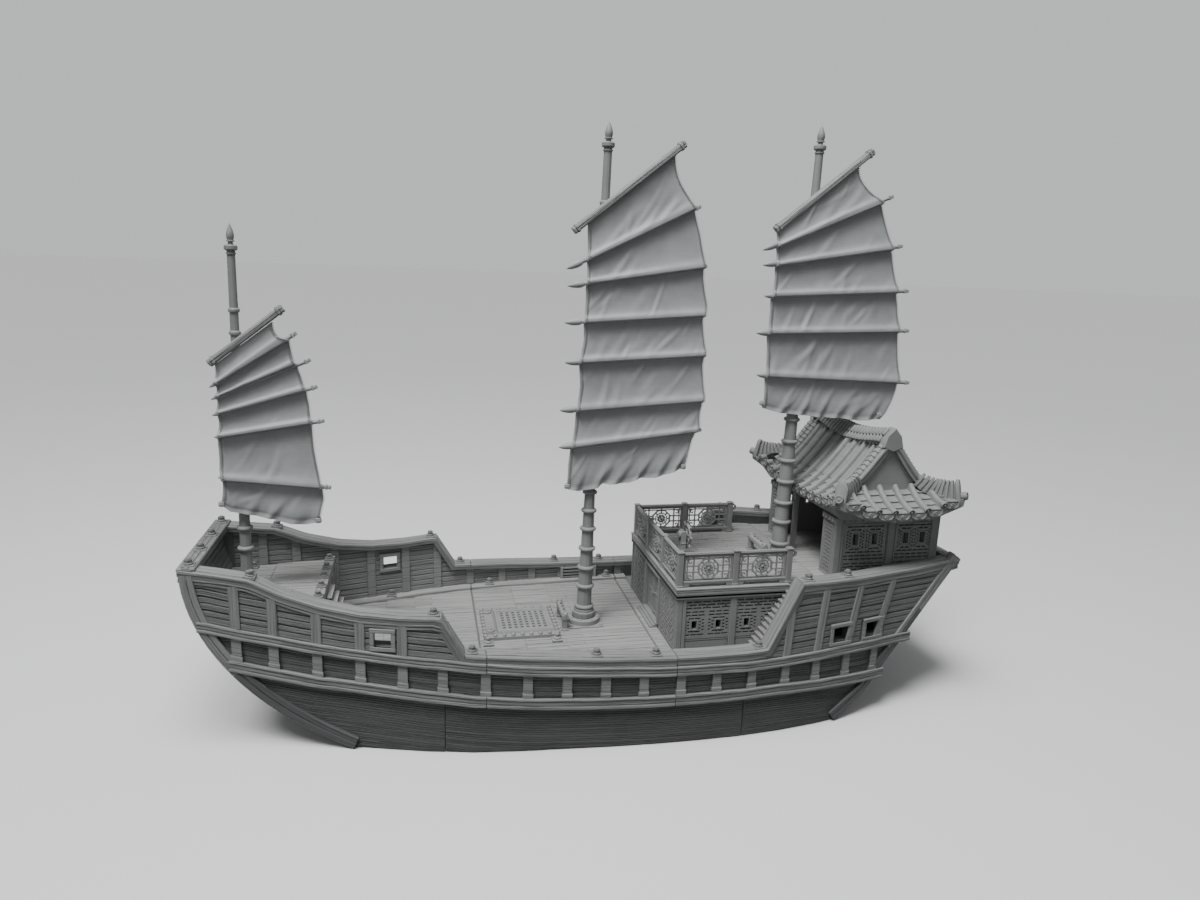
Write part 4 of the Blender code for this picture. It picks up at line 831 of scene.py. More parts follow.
def decking(form, x0, x1, half, z, butts, limit=None, pitch=BOARD, gap=0.55):
    """Boards from the middle line to port, broken at the butt joints, every other row set off."""
    count = int(math.ceil(half / pitch))
    for k in range(count):
        y0 = pitch * k + gap / 2
        y1 = min(pitch * (k + 1) - gap / 2, half)
        if y1 - y0 < 1:
            continue
        inner = [b + (14.0 if k % 2 and n % 2 else 0.0) for n, b in enumerate(butts)
                 if x0 + 20 < b < x1 - 20]
        ends = sorted([x0, x1] + inner)
        for n, (a, b) in enumerate(zip(ends, ends[1:])):
            board(form, a + 0.2, b - 0.2, y0, y1, z, k * 1.7 + n * 5.3 + x0 * 0.1, limit,
                  crack=(k + n) % 3 == 0)


deck_finish = plastic("deck_plastic_boards", DECK_GREY, 0.6, 0.55)
form = Form()
for x0, x1 in ((92.8, 208.0), (-44.4, 91.2), (-55.5, -45.8)):
    decking(form, x0, x1, 90.0, DECK_Z, DECK_BUTTS, lambda xs: side_y(xs) - LEDGE_IN)
for x0, x1 in ((92.7, 207.0), (-44.4, 91.3), (-55.5, -45.7)):
    xs = spots(x0, x1, 8.0)
    inner = side_y(xs) - SIDE_WALL - 9.0
    rings = [np.stack([xs, inner + dy + waver(xs, 3, 0.08), np.full(len(xs), DECK_Z + dz)], 1)
             for dy, dz in ((-0.5, 0.2), (-0.5, 2.7), (-0.1, 3.2), (8.6, 3.2), (8.6, 2.5), (3, 0.2))]
    form.loft(np.stack(rings, 1), 4.0)
form.mirror()
form.place("main_deck_boards", "hull", "deck_plastic", deck_finish)

# Cargo hatch
# A studded base with a raised frame round the grating, and at the bow end a board with two round cleats.
# The grating is a separate plate with eight rows of seven square holes.
HATCH_X = (27.2, 88.3)
HATCH_Y = 27.3
HATCH_Z = DECK_TOP
WELL = (34.2, 74.4, 17.6)
GRATE = (8, 7)
TRIM_GREY = (0.285, 0.288, 0.286)


def wreath(form, loops):
    """Closed ring through loops of equally many points; the last loop joins the first."""
    loops = np.asarray(loops, float)
    r, n = loops.shape[:2]
    faces = []
    for i in range(r):
        for j in range(n):
            a, b = (i + 1) % r, (j + 1) % n
            faces.append((i * n + j, i * n + b, a * n + b, a * n + j))
    flat = loops.reshape(-1, 3)
    centre = flat.mean(0)
    total = 0.0
    for f in faces:
        p = flat[list(f)]
        total += float(np.dot(p[0] - centre, np.cross(p[1] - centre, p[2] - centre))
                       + np.dot(p[0] - centre, np.cross(p[2] - centre, p[3] - centre)))
    if total < 0:
        faces = [f[::-1] for f in faces]
    form.add(flat, faces)


def frame_loops(outer, inner, levels):
    """Rectangular loops from outer to inner, each (x0, x1, y0, y1); levels are (share of the way, z)."""
    loops = []
    for share, z in levels:
        x0, x1, y0, y1 = (a + (b - a) * share for a, b in zip(outer, inner))
        loops.append([(x0, y0, z), (x1, y0, z), (x1, y1, z), (x0, y1, z)])
    return loops


STUD = [(0, 1.8), (0.7, 1.95), (1.5, 1.6), (2.1, 0.95), (2.3, 0.15)]
trim_finish = plastic("trim_plastic_plain", TRIM_GREY, 0.55)
form = Form()
x0, x1 = HATCH_X
base = (x0, x1, -HATCH_Y, HATCH_Y)
well = (WELL[0], WELL[1], -WELL[2], WELL[2])
bevel = (x0 + 0.5, x1 - 0.5, 0.5 - HATCH_Y, HATCH_Y - 0.5)
wreath(form, [[(a, c, z), (b, c, z), (b, d, z), (a, d, z)] for (a, b, c, d), z in (
    (base, HATCH_Z), (base, HATCH_Z + 2.8), (bevel, HATCH_Z + 3.3), (well, HATCH_Z + 3.3), (well, HATCH_Z))])
form.block((WELL[0] - 0.5, WELL[1] + 0.5), (-WELL[2] - 0.5, WELL[2] + 0.5), (HATCH_Z, HATCH_Z + 0.7), 0.1)
outer = (WELL[0] - 3.7, WELL[1] + 3.4, -WELL[2] - 4.6, WELL[2] + 4.6)
wreath(form, frame_loops(outer, well, ((0.0, HATCH_Z + 3.0), (0.04, HATCH_Z + 3.8), (0.35, HATCH_Z + 5.5),
                                        (0.92, HATCH_Z + 5.6), (1.0, HATCH_Z + 5.3), (1.0, HATCH_Z + 3.0))))
form.block((WELL[1] + 4.2, x1 - 2.6), (-21.8, 21.8), (HATCH_Z + 3.0, HATCH_Z + 4.7), 0.4)
for y in (-18.0, 18.0):
    cleat = [(0, 3.4), (0.8, 3.6), (1.5, 3.3), (1.7, 2.5), (1.2, 2.2), (1.25, 1.3), (2.2, 1.2), (2.6, 0.8),
             (2.7, 0.2)]
    form.turned(cleat, 18, (WELL[1] + 8.2, y, HATCH_Z + 4.4), (WELL[1] + 8.2, y, HATCH_Z + 9))
    form.block((WELL[1] + 6.6, WELL[1] + 9.8), (y - 3.6, y + 3.6), (HATCH_Z + 5.0, HATCH_Z + 5.9), 0.25)
studs = [(28.9 + 7.22 * k, s * 25.4) for k in range(9) for s in (-1, 1)]
studs += [(x, -25.4 + 6.35 * k) for k in range(1, 8) for x in (28.9, 86.7)]
for x, y in studs:
    form.turned(STUD, 10, (x, y, HATCH_Z + 3.1), (x, y, HATCH_Z + 9))
form.place("hatch_base_and_frame", "hull", "trim_plastic", trim_finish, ("hatch_coaming",), smooth=35)

form = Form()
gx0, gx1, gy = WELL[0] + 0.1, WELL[1] - 0.1, WELL[2] - 0.1
nx, ny = GRATE
px = (gx1 - gx0) / (nx + 0.35)
py = 2 * gy / (ny + 0.35)
for k in range(nx + 1):
    middle = gx0 + px * (k + 0.175)
    form.block((middle - px * 0.25, middle + px * 0.25), (-gy, gy), (HATCH_Z + 1.9, HATCH_Z + 5.0), 0.15)
for k in range(ny + 1):
    middle = -gy + py * (k + 0.175)
    form.block((gx0, gx1), (middle - py * 0.2, middle + py * 0.2), (HATCH_Z + 1.95, HATCH_Z + 4.92), 0.15)
form.place("hatch_grating_bars", "hull", "trim_plastic", trim_finish, ("hatch_grating",))

form = Form()
for x in (85.6, 31.0):
    bollard(form, x, HATCH_Y + 5.4, HATCH_Z + 0.5)
form.place("hatch_bollards", "hull", "trim_plastic", trim_finish,
           ("hatch_bollard_fore", "hatch_bollard_aft"), smooth=40)

# Main mast step and fife rails
# A square bolted plate under a round flange with eight bolts and a stepped collar, and two short rails
# for the ropes: a rounded beam on two posts, with a knob at each end.
STEP_X = 3.5
QUARTER_TOP = 105.8
FLANGE = [(0, 13.4), (0.4, 13.7), (4.3, 13.7), (4.8, 13.3), (4.9, 12.6), (4.9, 9.75), (0, 9.7)]

form = Form()
z = HATCH_Z
form.block((STEP_X - 14.6, STEP_X + 14.6), (-14.6, 14.6), (z, z + 1.5), 0.35)
angles = 2 * np.pi * np.arange(40) / 40
wreath(form, [np.stack([STEP_X + r * np.cos(angles), r * np.sin(angles), np.full(40, z + 0.9 + d)], 1)
              for d, r in FLANGE])
for sx in (-1, 1):
    for sy in (-1, 1):
        form.turned([(0, 1.5), (0.9, 1.5), (1.4, 1.1), (1.5, 0.2)], 6,
                    (STEP_X + sx * 12.5, sy * 12.5, z + 1.2), (STEP_X + sx * 12.5, sy * 12.5, z + 9))
for k in range(8):
    a = math.pi * (k + 0.5) / 4
    x, y = STEP_X + 11.6 * math.cos(a), 11.6 * math.sin(a)
    form.turned([(0, 1.2), (0.7, 1.2), (1.1, 0.8), (1.2, 0.2)], 8, (x, y, z + 5.6), (x, y, z + 9))
form.place("mast_step_flange", "hull", "trim_plastic", trim_finish, ("main_mast_step",), smooth=35)

rail_finish = plastic("trim_plastic_rails", TRIM_GREY, 0.56, 0.35)
FIFE_BEAM = [(-2.4, 9.8), (-2.8, 11.5), (-2.2, 13.3), (-0.8, 14.3), (0.8, 14.3), (2.2, 13.3), (2.8, 11.5),
             (2.4, 9.8)]
for name, x, z in (("main_fife_rail", 21.5, DECK_TOP), ("mizzen_fife_rail", -148.5, QUARTER_TOP)):
    form = Form()
    ys = np.linspace(-17, 17, 25)
    rings = []
    for y in ys:
        wave = 0.12 * math.sin(y * 1.3)
        rings.append([(x + dx, y, z + dz + (wave if dz > 11 else 0)) for dx, dz in FIFE_BEAM])
    form.loft(rings, 2.0)
    for side in (1, -1):
        form.block((x - 2.1, x + 2.1), (side * 14 - 2.3, side * 14 + 2.3), (z, z + 10.6), 0.5)
        form.block((x - 3.2, x + 3.2), (side * 14 - 3.2, side * 14 + 3.2), (z, z + 1.7), 0.4)
        form.turned([(0, 2.0), (0.6, 2.4), (1.3, 2.2), (1.9, 1.2), (2.1, 0.3)], 12,
                    (x, side * 14.2, z + 13.6), (x, side * 14.2, z + 19))
        for dy in (-6.5, 0, 6.5):
            form.turned([(0, 0.9), (1.0, 0.9), (1.5, 0.4)], 8, (x, dy, z + 13.8), (x, dy, z + 19))
    form.place(name + "_carved", "hull", "trim_plastic", rail_finish, (name,), smooth=35)

# Foredeck
# Raised deck in the bow: boards fore and aft, an edge beam with bollards, an upright planked bulkhead
# and boarded steps down to the main deck.
FOREDECK_X = 209.0
FOREDECK_Z = 95.5
STEP_RUN = 3.2
STEP_COUNT = 7

dress(hull_finish, "foredeck", "foredeck_steps")
form = Form()
decking(form, FOREDECK_X + 5.8, 291.0, 62.0, FOREDECK_Z, (252.0,), lambda xs: side_y(xs) - 9.6, gap=0.9)
for k in range(8):
    z0 = DECK_Z + 0.6 + 5.0 * k
    form.block((FOREDECK_X - 1.2, FOREDECK_X + 1), (13.6, float(side_y(FOREDECK_X)) - 9.6),
               (z0, min(z0 + 4.6, FOREDECK_Z - 4.2)), 0.3, seed=k)
for y in (34.0, 56.0):
    form.block((FOREDECK_X - 2.4, FOREDECK_X), (y - 2.6, y + 2.6), (DECK_Z + 0.4, FOREDECK_Z - 3.8), 0.4)
form.mirror()
beam = float(side_y(FOREDECK_X)) - 9.7
for k, (a, b) in enumerate(((-1.9, 1.4), (1.7, 5.8))):
    form.block((FOREDECK_X + a, FOREDECK_X + b), (-beam, beam),
               (FOREDECK_Z - 4.2, FOREDECK_Z + 2.8 + 0.15 * k), 0.4, seed=k + 3)
rise = (FOREDECK_Z - DECK_Z - 0.3) / (STEP_COUNT + 1)
for k in range(STEP_COUNT):
    z = DECK_Z + 0.3 + rise * (STEP_COUNT - k)
    back = FOREDECK_X - 1.8 - STEP_RUN * k
    form.block((back - STEP_RUN - 0.9, back), (-13.4, 13.4), (z - 1.3, z + 0.35), 0.3, seed=k + 11)
form.place("foredeck_boards", "hull", "deck_plastic", deck_finish)

form = Form()
for y in (-50, -30, -10, 10, 30, 50):
    bollard(form, FOREDECK_X + 2, y, FOREDECK_Z + 2.6, 0.88)
for side in (1, -1):
    bollard(form, FOREDECK_X + 60, side * 44, FOREDECK_Z + 0.3, 0.88)
form.place("foredeck_bollards", "hull", "deck_plastic", hull_finish, smooth=40)

# Inner bow
# Boards across the inside of the blunt bow, above the foredeck.
INNER_PLANK = [(0, -1), (0, 0.4), (0.1, 0.8), (0.9, 0.8), (1, 0.4), (1, -1)]

form = Form()
for k in range(7):
    z = FOREDECK_Z + 1.0 + 4.9 * k
    half = float(side_y(bow_x(z))) - 7.6
    cross_plank(form, bow_x, z, z + 4.4, half, -1, INNER_PLANK, k * 1.9, back=5.0, count=9)
form.place("inner_bow_boards", "hull", "hull_plastic", plank_finish)

# Castle walls
# Hollow house under the quarterdeck with one front and two side walls, each printed as a plate with cut
# lattice work: bonded rows of slots, stacks of slots round the windows, posts and a plain framed foot.
CASTLE_FRONT = -56.0
CASTLE_AFT = -147.0
CASTLE_Y = 68.0
CASTLE_Z = (DECK_TOP, 97.7)
WALL = 4.5
CASTLE_WINDOWS = (-70.4, -90.2, -113.6)
SLOT = 1.3
SLOT_DEEP = -2.3
SIDES = (("port", 1), ("starboard", -1))


def fretted(form, u, v, thick, cuts, place, seed=0.0):
    """Plate with cuts (u0, u1, v0, v1, level), None for a hole; place makes a point of along, up, out."""
    def lines(low, high, first):
        found = {low, high}
        for cut in cuts:
            found |= {round(min(max(c, low), high), 2) for c in cut[first:first + 2]}
        return sorted(found)

    us, vs = lines(*u, 0), lines(*v, 2)
    nu, nv = len(us) - 1, len(vs) - 1
    middle_u, middle_v = (np.convolve(a, (0.5, 0.5), "valid") for a in (us, vs))
    level = np.zeros((nu, nv))
    for u0, u1, v0, v1, deep in cuts:
        inside = ((middle_u > u0) & (middle_u < u1))[:, None] & ((middle_v > v0) & (middle_v < v1))[None]
        level[inside] = np.nan if deep is None else deep
    points, number, faces = [], {}, []

    def corner(i, j, w):
        key = (i, j, round(w, 3))
        if key not in number:
            number[key] = len(points)
            points.append((us[i], vs[j], w))
        return number[key]

    def quad(*corners):
        faces.append(tuple(corner(*c) for c in corners))

    for i in range(nu):
        for j in range(nv):
            w = level[i, j]
            if np.isnan(w):
                continue
            quad((i, j, w), (i + 1, j, w), (i + 1, j + 1, w), (i, j + 1, w))
            quad((i, j, -thick), (i, j + 1, -thick), (i + 1, j + 1, -thick), (i + 1, j, -thick))
            for di, dj, a, b in ((-1, 0, (0, 0), (0, 1)), (1, 0, (1, 1), (1, 0)), (0, -1, (1, 0), (0, 0)),
                                 (0, 1, (0, 1), (1, 1))):
                k, m = i + di, j + dj
                other = level[k, m] if 0 <= k < nu and 0 <= m < nv else np.nan
                other = -thick if np.isnan(other) else other
                if other < w - 1e-6:
                    p, q = (i + a[0], j + a[1]), (i + b[0], j + b[1])
                    quad((*p, w), (*q, w), (*q, other), (*p, other))
    origin, du, dv, dw = (np.array(place(*c)) for c in ((0, 0, 0), (1, 0, 0), (0, 1, 0), (0, 0, 1)))
    if np.dot(np.cross(du - origin, dv - origin), dw - origin) < 0:
        faces = [f[::-1] for f in faces]
    form.add([place(*p) for p in points], faces, np.array(points) + (0, 0, seed))


def dashes(u0, u1, v, long, gap, deep=SLOT_DEEP, wide=SLOT, shift=0.0):
    """Row of level slots."""
    found = []
    at = u0 + shift
    while at < u1 - 0.8:
        a, b = max(at, u0), min(at + long, u1)
        if b - a > 0.8:
            found.append((a, b, v - wide / 2, v + wide / 2, deep))
        at += long + gap
    return found


def uprights(v0, v1, u, long, gap, deep=SLOT_DEEP, wide=SLOT, shift=0.0):
    """Row of upright slots."""
    return [(c, d, a, b, e) for a, b, c, d, e in dashes(v0, v1, u, long, gap, deep, wide, shift)]


def ring_slots(cu, cv, half, high, inner=3.7):
    """Slots round a window: long ones above and below, and bonded stacks of short ones beside it."""
    found = []
    for v in (cv - high, cv + high):
        long = (2 * half - 1.4) / 3
        found += dashes(cu - half, cu + half, v, long, 0.7)
    for v in (cv - high + 2.7, cv + high - 2.7):
        found += dashes(cu - half * 0.62, cu + half * 0.62, v, half * 0.56, 0.7)
    split = (inner + half) / 2
    for way in (-1, 1):
        for k, (a, b) in enumerate(((inner, split - 0.35), (split + 0.35, half))):
            v = cv - high + 2.7 + 1.35 * k
            while v < cv + high - 2.0:
                if abs(v - cv) < high - 3.6 or k:
                    found.append((min(cu + way * a, cu + way * b), max(cu + way * a, cu + way * b),
                                  v - 0.65, v + 0.65, SLOT_DEEP))
                v += 2.7
    return found


def woven(u0, u1, v, rows=3, pitch=2.6, long=6.4):
    """Band of long slots in bonded rows, with short upright slots that join every other pair."""
    found = []
    for k in range(rows):
        found += dashes(u0, u1, v + pitch * k, long, 1.3, shift=-(long + 1.3) * 0.5 * (k % 2))
    at = u0 + long * 0.5
    while at < u1 - 2:
        found.append((at - 0.6, at + 0.6, v, v + pitch, SLOT_DEEP))
        at += 2 * (long + 1.3)
    return found


wall_finish = plastic("trim_plastic_walls", RAIL_GREY, 0.56)
for name, side in SIDES:
    form = Form()
    cuts = []
    for a, b in ((-99.3, -62.3), (-142.0, -104.7)):
        cuts.append((a, b, 54.2, 62.6, -0.5))
        cuts.append((a + 1.2, b - 1.2, 55.2, 61.6, -0.15))
        cuts += woven(a + 0.6, b - 0.6, 89.4)
        cuts.append((a - 0.5, a, 54.2, 96.4, -0.6))
        cuts.append((b, b + 0.5, 54.2, 96.4, -0.6))
        cuts.append((a, b, 63.3, 64.0, -0.7))
    cells = [(x, 8.2) for x in CASTLE_WINDOWS] + [(-133.0, 7.2)]
    for x, reach in cells:
        cuts += dashes(x - reach, x + reach, 86.2, 4.6, 1.1)
        cuts += ring_slots(x, 75.4, reach, 8.1)
    for x in CASTLE_WINDOWS:
        cuts.append((x - 3.0, x + 3.0, 71.0, 79.9, 0.35))
        cuts.append((x - 2.1, x + 2.1, 72.0, 79.0, None))
    fretted(form, (CASTLE_AFT, CASTLE_FRONT - WALL - 0.3), CASTLE_Z, WALL, cuts,
            lambda a, b, c: (a, side * (CASTLE_Y + c), b), 3.0)
    for x, wide in ((-102.0, 2.6), (-61.9, 1.4), (-143.6, 1.4)):
        form.block((x - wide, x + wide), (side * (CASTLE_Y - 0.5), side * (CASTLE_Y + 0.9)),
                   (CASTLE_Z[0] + 0.1, CASTLE_Z[1] - 0.2), 0.3)
    form.block((CASTLE_AFT + 0.3, CASTLE_FRONT - WALL - 0.5),
               (side * (CASTLE_Y - 0.4), side * (CASTLE_Y + 1.1)), (52.9, 53.9), 0.25)
    form.place("castle_side_lattice_" + name, "hull", "trim_plastic", wall_finish,
               ("castle_side_wall_" + name,))

form = Form()
cuts = [(-19.0, 19.0, 57.0, 95.0, None)]
for side in (1, -1):
    for row in range(14):
        v = 56.4 + 2.85 * row
        marks = dashes(24.4, 64.0, v, 4.4, 1.3, -1.7, 1.3, -2.85 * (row % 2))
        if row % 2 == 0:
            marks += [(u - 0.55, u + 0.55, v, v + 2.85, -1.7) for u in np.arange(32.2, 63, 11.4)]
        if side < 0:
            marks = [(-b, -a, c, d, e) for a, b, c, d, e in marks]
        cuts += [c for c in marks if c[3] < 96.4]
    for a, b in ((22.2, 22.8), (65.2, 65.8)):
        cuts.append((min(side * a, side * b), max(side * a, side * b), 54.5, 96.6, -0.6))
fretted(form, (-CASTLE_Y, CASTLE_Y), CASTLE_Z, WALL, cuts, lambda a, b, c: (CASTLE_FRONT + c, a, b), 5.0)
for side in (1, -1):
    form.block((CASTLE_FRONT - 0.4, CASTLE_FRONT + 1.5), (side * 19.1, side * 21.9), (55.8, 97.4), 0.35)
    form.block((CASTLE_FRONT - 0.4, CASTLE_FRONT + 0.9), (side * 66.0, side * 68.0), (53.0, 97.4), 0.3)
    form.block((CASTLE_FRONT - WALL + 0.3, CASTLE_FRONT + 0.3),
               (side * (CASTLE_Y - 0.6), side * (CASTLE_Y + 0.85)), (53.0, 97.4), 0.4)
form.block((CASTLE_FRONT - 0.4, CASTLE_FRONT + 1.4), (-22.0, 22.0), (95.05, 97.4), 0.3)
for k in range(3):
    form.block((CASTLE_FRONT - 0.5, CASTLE_FRONT + 7.2 - 2.3 * k), (-20.8, 20.8),
               (52.9 + 1.3 * k, 54.35 + 1.3 * k), 0.3, seed=k)
form.place("castle_front_lattice", "hull", "trim_plastic", wall_finish, ("castle_front_wall",))

# Castle doors
# Two leaves that swing on pins at their outer edges, each with an upright panel, a lattice window and a
# round boss at the top and at the foot.
for name, side in SIDES:
    form = Form()
    cuts = [(3.0, 15.4, 77.0, 92.0, -0.5), (3.0, 15.4, 60.4, 74.5, -0.5), (5.0, 13.4, 62.4, 72.5, -0.1)]
    for u in (5.1, 8.0, 10.9):
        for v in np.arange(78.2, 91.0, 2.7):
            cuts.append((u, u + 2.4, v, v + 1.9, -0.95))
    fretted(form, (0.35, 18.15), (57.35, 94.65), 1.9, cuts, lambda a, b, c: (-57.35 + c, side * a, b), 7.0)
    for z in (59.0, 93.2):
        form.turned([(0, 1.3), (0.25, 1.35), (0.5, 1.1), (0.8, 0.5), (0.85, 0.1)], 12,
                    (-57.45, side * 2.0, z), (-50, side * 2.0, z))
    form.turned([(0, 0.7), (0.6, 0.7), (0.9, 1.0), (1.3, 0.8), (1.45, 0.2)], 12, (-57.45, side * 1.9, 75.7),
                (-50, side * 1.9, 75.7))
    form.place("door_leaf_" + name, "castle_door_" + name, "trim_plastic", wall_finish,
               ("castle_door_" + name,))

# Quarterdeck
# Deck plate on the castle and between the bulwarks: boards on top, and a moulded edge with a thin lip that
# throws a shadow on the walls.
QUARTER_Z = 105.5
QUARTER_Y = 70.0
QUARTER_FRONT = -54.5
STAIR_END = -146.8

dress(hull_finish, "quarterdeck")
form = Form()


def quarter_limit(xs):
    return np.where(xs > STAIR_END, QUARTER_Y - 2.0, side_y(xs) - 7.9)


decking(form, float(stern_x(QUARTER_Z)) + 6.2, QUARTER_FRONT - 2.2, 100.0, QUARTER_Z + 0.02,
        (-100.0, -131.0, -176.0, -219.0, -250.0), quarter_limit, pitch=5.6)
form.mirror()
form.place("quarterdeck_boards", "hull", "deck_plastic", deck_finish)

EDGE = [(-2.4, 1.15), (-0.1, 1.15), (0.55, 0.75), (0.55, 0.0), (0.15, -0.35), (0.3, -1.6), (-0.05, -2.1),
        (0.12, -2.6), (0.12, -4.0), (-0.2, -4.4), (0.0, -4.9), (0.0, -6.4), (-0.5, -7.2), (-1.0, -7.3),
        (-2.4, -7.3)]
form = Form()
for side in (1, -1):
    rings = [[(x, side * (QUARTER_Y + out), QUARTER_Z + z) for out, z in EDGE]
             for x in (STAIR_END + 0.4, -120.0, -90.0)]
    rings.append([(QUARTER_FRONT + out, side * (QUARTER_Y + out), QUARTER_Z + z) for out, z in EDGE])
    form.loft(rings, side * 2.0)
rings = [[(QUARTER_FRONT + out, s * (QUARTER_Y + out), QUARTER_Z + z) for out, z in EDGE] for s in (-1, 1)]
form.loft(rings, 5.0)
form.place("quarterdeck_edge", "hull", "deck_plastic", trim_finish)

# Stairs beside the castle
# Steep flights of thirteen treads between the castle's wall and the bulwark: board treads with a nose, and
# an upright board under each.
TREADS = 13

dress(hull_finish, "castle_stairs_port", "castle_stairs_starboard")
form = Form()
rise = (QUARTER_Z - DECK_TOP) / (TREADS + 1)
run = 32.5 / TREADS
for k in range(TREADS):
    z = DECK_TOP + rise * (k + 1)
    front = -114.0 - run * k
    y0 = 68.7 if z < 97.0 else 70.7
    y1 = float(side_y(front - run)) - 7.6
    form.block((front - run, front + 0.8), (y0, y1), (z - 1.1, z + 0.4), 0.3, seed=k)
    form.block((front - 0.5, front + 0.1), (y0 + 0.2, y1 - 0.2), (z - rise + 0.5, z - 1.2), 0.15,
               seed=k + 20)
form.mirror()
form.place("stair_treads", "hull", "deck_plastic", deck_finish)

# Railings of the quarterdeck
# Square posts with caps, a handrail with a lip, and openwork panels between: a frame, double cross bars,
# uprights, an eight-sided ring round a flower, and small scrolls in the corners.
RAIL_X = -57.5
RAIL_Y = 64.5
RAIL_BACK = (-102.5, -147.0)
RAIL_FOOT = QUARTER_TOP
RAIL_TOP = 134.0
PANEL_Z = (109.2, 131.6)
OPENWORK_GREY = (0.265, 0.268, 0.266)


def strip(form, place, path, half, deep, closed=False, seed=0.0):
    """Flat bar with broken edges along a path in a panel's plane."""
    path = np.asarray(path, float)
    if closed:
        steps = np.roll(path, -1, 0) - np.roll(path, 1, 0)
    else:
        steps = np.gradient(path, axis=0)
    steps /= np.linalg.norm(steps, axis=1)[:, None]
    side = np.stack([-steps[:, 1], steps[:, 0]], 1)
    e = min(0.25, half * 0.5)
    section = [(-half, -deep + e), (-half, deep - e), (-half + e, deep), (half - e, deep), (half, deep - e),
               (half, -deep + e), (half - e, -deep), (-half + e, -deep)]
    rings = [[place(*(p + s * a), b) for a, b in section] for p, s in zip(path, side)]
    if closed:
        wreath(form, np.array(rings))
    else:
        form.loft(rings, seed)


def flower(form, place, cu, cv, out):
    """Flower in the middle of a panel: a boss, eight petals and a ring, on both faces."""
    for way in (1, -1):
        centre = Vector(place(cu, cv, 0))
        aim = Vector(place(cu, cv, way)) - centre
        form.turned([(0, 1.5), (out * 0.8, 1.5), (out + 0.3, 1.1), (out + 0.6, 0.3)], 10, centre,
                    centre + aim)
        for k in range(8):
            a = math.pi * (k + 0.5) / 4
            petal = Vector(place(cu + 2.95 * math.cos(a), cv + 2.95 * math.sin(a), 0))
            form.turned([(0, 1.25), (out * 0.7, 1.25), (out, 0.9), (out + 0.2, 0.2)], 8, petal, petal + aim)


def rail_bay(form, place, u0, u1, scrolls=True):
    """One openwork panel from u0 to u1."""
    v0, v1 = PANEL_Z
    cu, cv = (u0 + u1) / 2, (v0 + v1) / 2
    long = u1 - u0
    border = [(u0 + 0.9, v0 + 0.9), (u1 - 0.9, v0 + 0.9), (u1 - 0.9, v1 - 0.9), (u0 + 0.9, v1 - 0.9)]
    for a, b in zip(border, border[1:] + border[:1]):
        strip(form, place, (a, b), 0.8, 0.85)
    inner = 2.9
    for a, b in (((u0 + inner, v0 + 1.5), (u0 + inner, v1 - 1.5)),
                 ((u1 - inner, v0 + 1.5), (u1 - inner, v1 - 1.5))):
        strip(form, place, (a, b), 0.5, 0.5)
    for v in (v0 + inner, v1 - inner):
        strip(form, place, ((u0 + 1.5, v), (u1 - 1.5, v)), 0.5, 0.54)
    ring = 7.9
    for v in (cv - 2.5, cv + 2.5):
        strip(form, place, ((u0 + 1.5, v), (cu - ring + 0.8, v)), 0.6, 0.65)
        strip(form, place, ((cu + ring - 0.8, v), (u1 - 1.5, v)), 0.6, 0.65)
    for share in (0.2, 0.8):
        u = u0 + long * share
        strip(form, place, ((u, v0 + 1.5), (u, v1 - 1.5)), 0.6, 0.6)
    angles = np.pi * (np.arange(8) + 0.5) / 4
    for r, half, deep in ((8.5, 0.7, 0.75), (5.5, 0.5, 0.6)):
        strip(form, place, np.stack([cu + r * np.cos(angles), cv + r * np.sin(angles)], 1), half, deep,
              True)
    for k in range(8):
        a = math.pi * k / 4
        strip(form, place, ((cu + 4.6 * math.cos(a), cv + 4.6 * math.sin(a)),
                            (cu + 7.8 * math.cos(a), cv + 7.8 * math.sin(a))),
              0.6, 0.7)
    for v, s in ((v0 + 1.2, 1), (v1 - 1.2, -1)):
        strip(form, place, ((cu, v), (cu, cv - s * 7.6)), 0.55, 0.6)
    flower(form, place, cu, cv, 0.8)
    if scrolls:
        for su in (1, -1):
            for sv in (1, -1):
                corner = (cu - su * (long / 2 - inner - 0.3), cv - sv * (11.2 - inner - 0.3))
                t = np.linspace(0, 1, 13)
                turn = math.pi * (0.5 + 1.55 * t)
                r = 2.0 * (1 - 0.72 * t)
                path = np.stack([corner[0] + su * (2.1 + r * np.cos(turn)),
                                 corner[1] + sv * (0.2 + 1.9 - r * np.sin(turn))], 1)
                strip(form, place, path, 0.5, 0.6)


def rail_post(form, x, y, wide, top):
    form.block((x - wide, x + wide), (y - wide, y + wide), (RAIL_FOOT, top - 1.6), 0.35)
    form.block((x - wide - 0.35, x + wide + 0.35), (y - wide - 0.35, y + wide + 0.35),
               (RAIL_FOOT + 0.02, RAIL_FOOT + 2.0), 0.3)
    form.block((x - wide - 0.5, x + wide + 0.5), (y - wide - 0.5, y + wide + 0.5), (top - 1.7, top - 0.6),
               0.4)
    form.turned([(0, wide * 1.0), (0.5, wide * 0.85), (0.8, wide * 0.5), (0.9, 0.3)], 4, (x, y, top - 0.8),
                (x, y, top + 5))


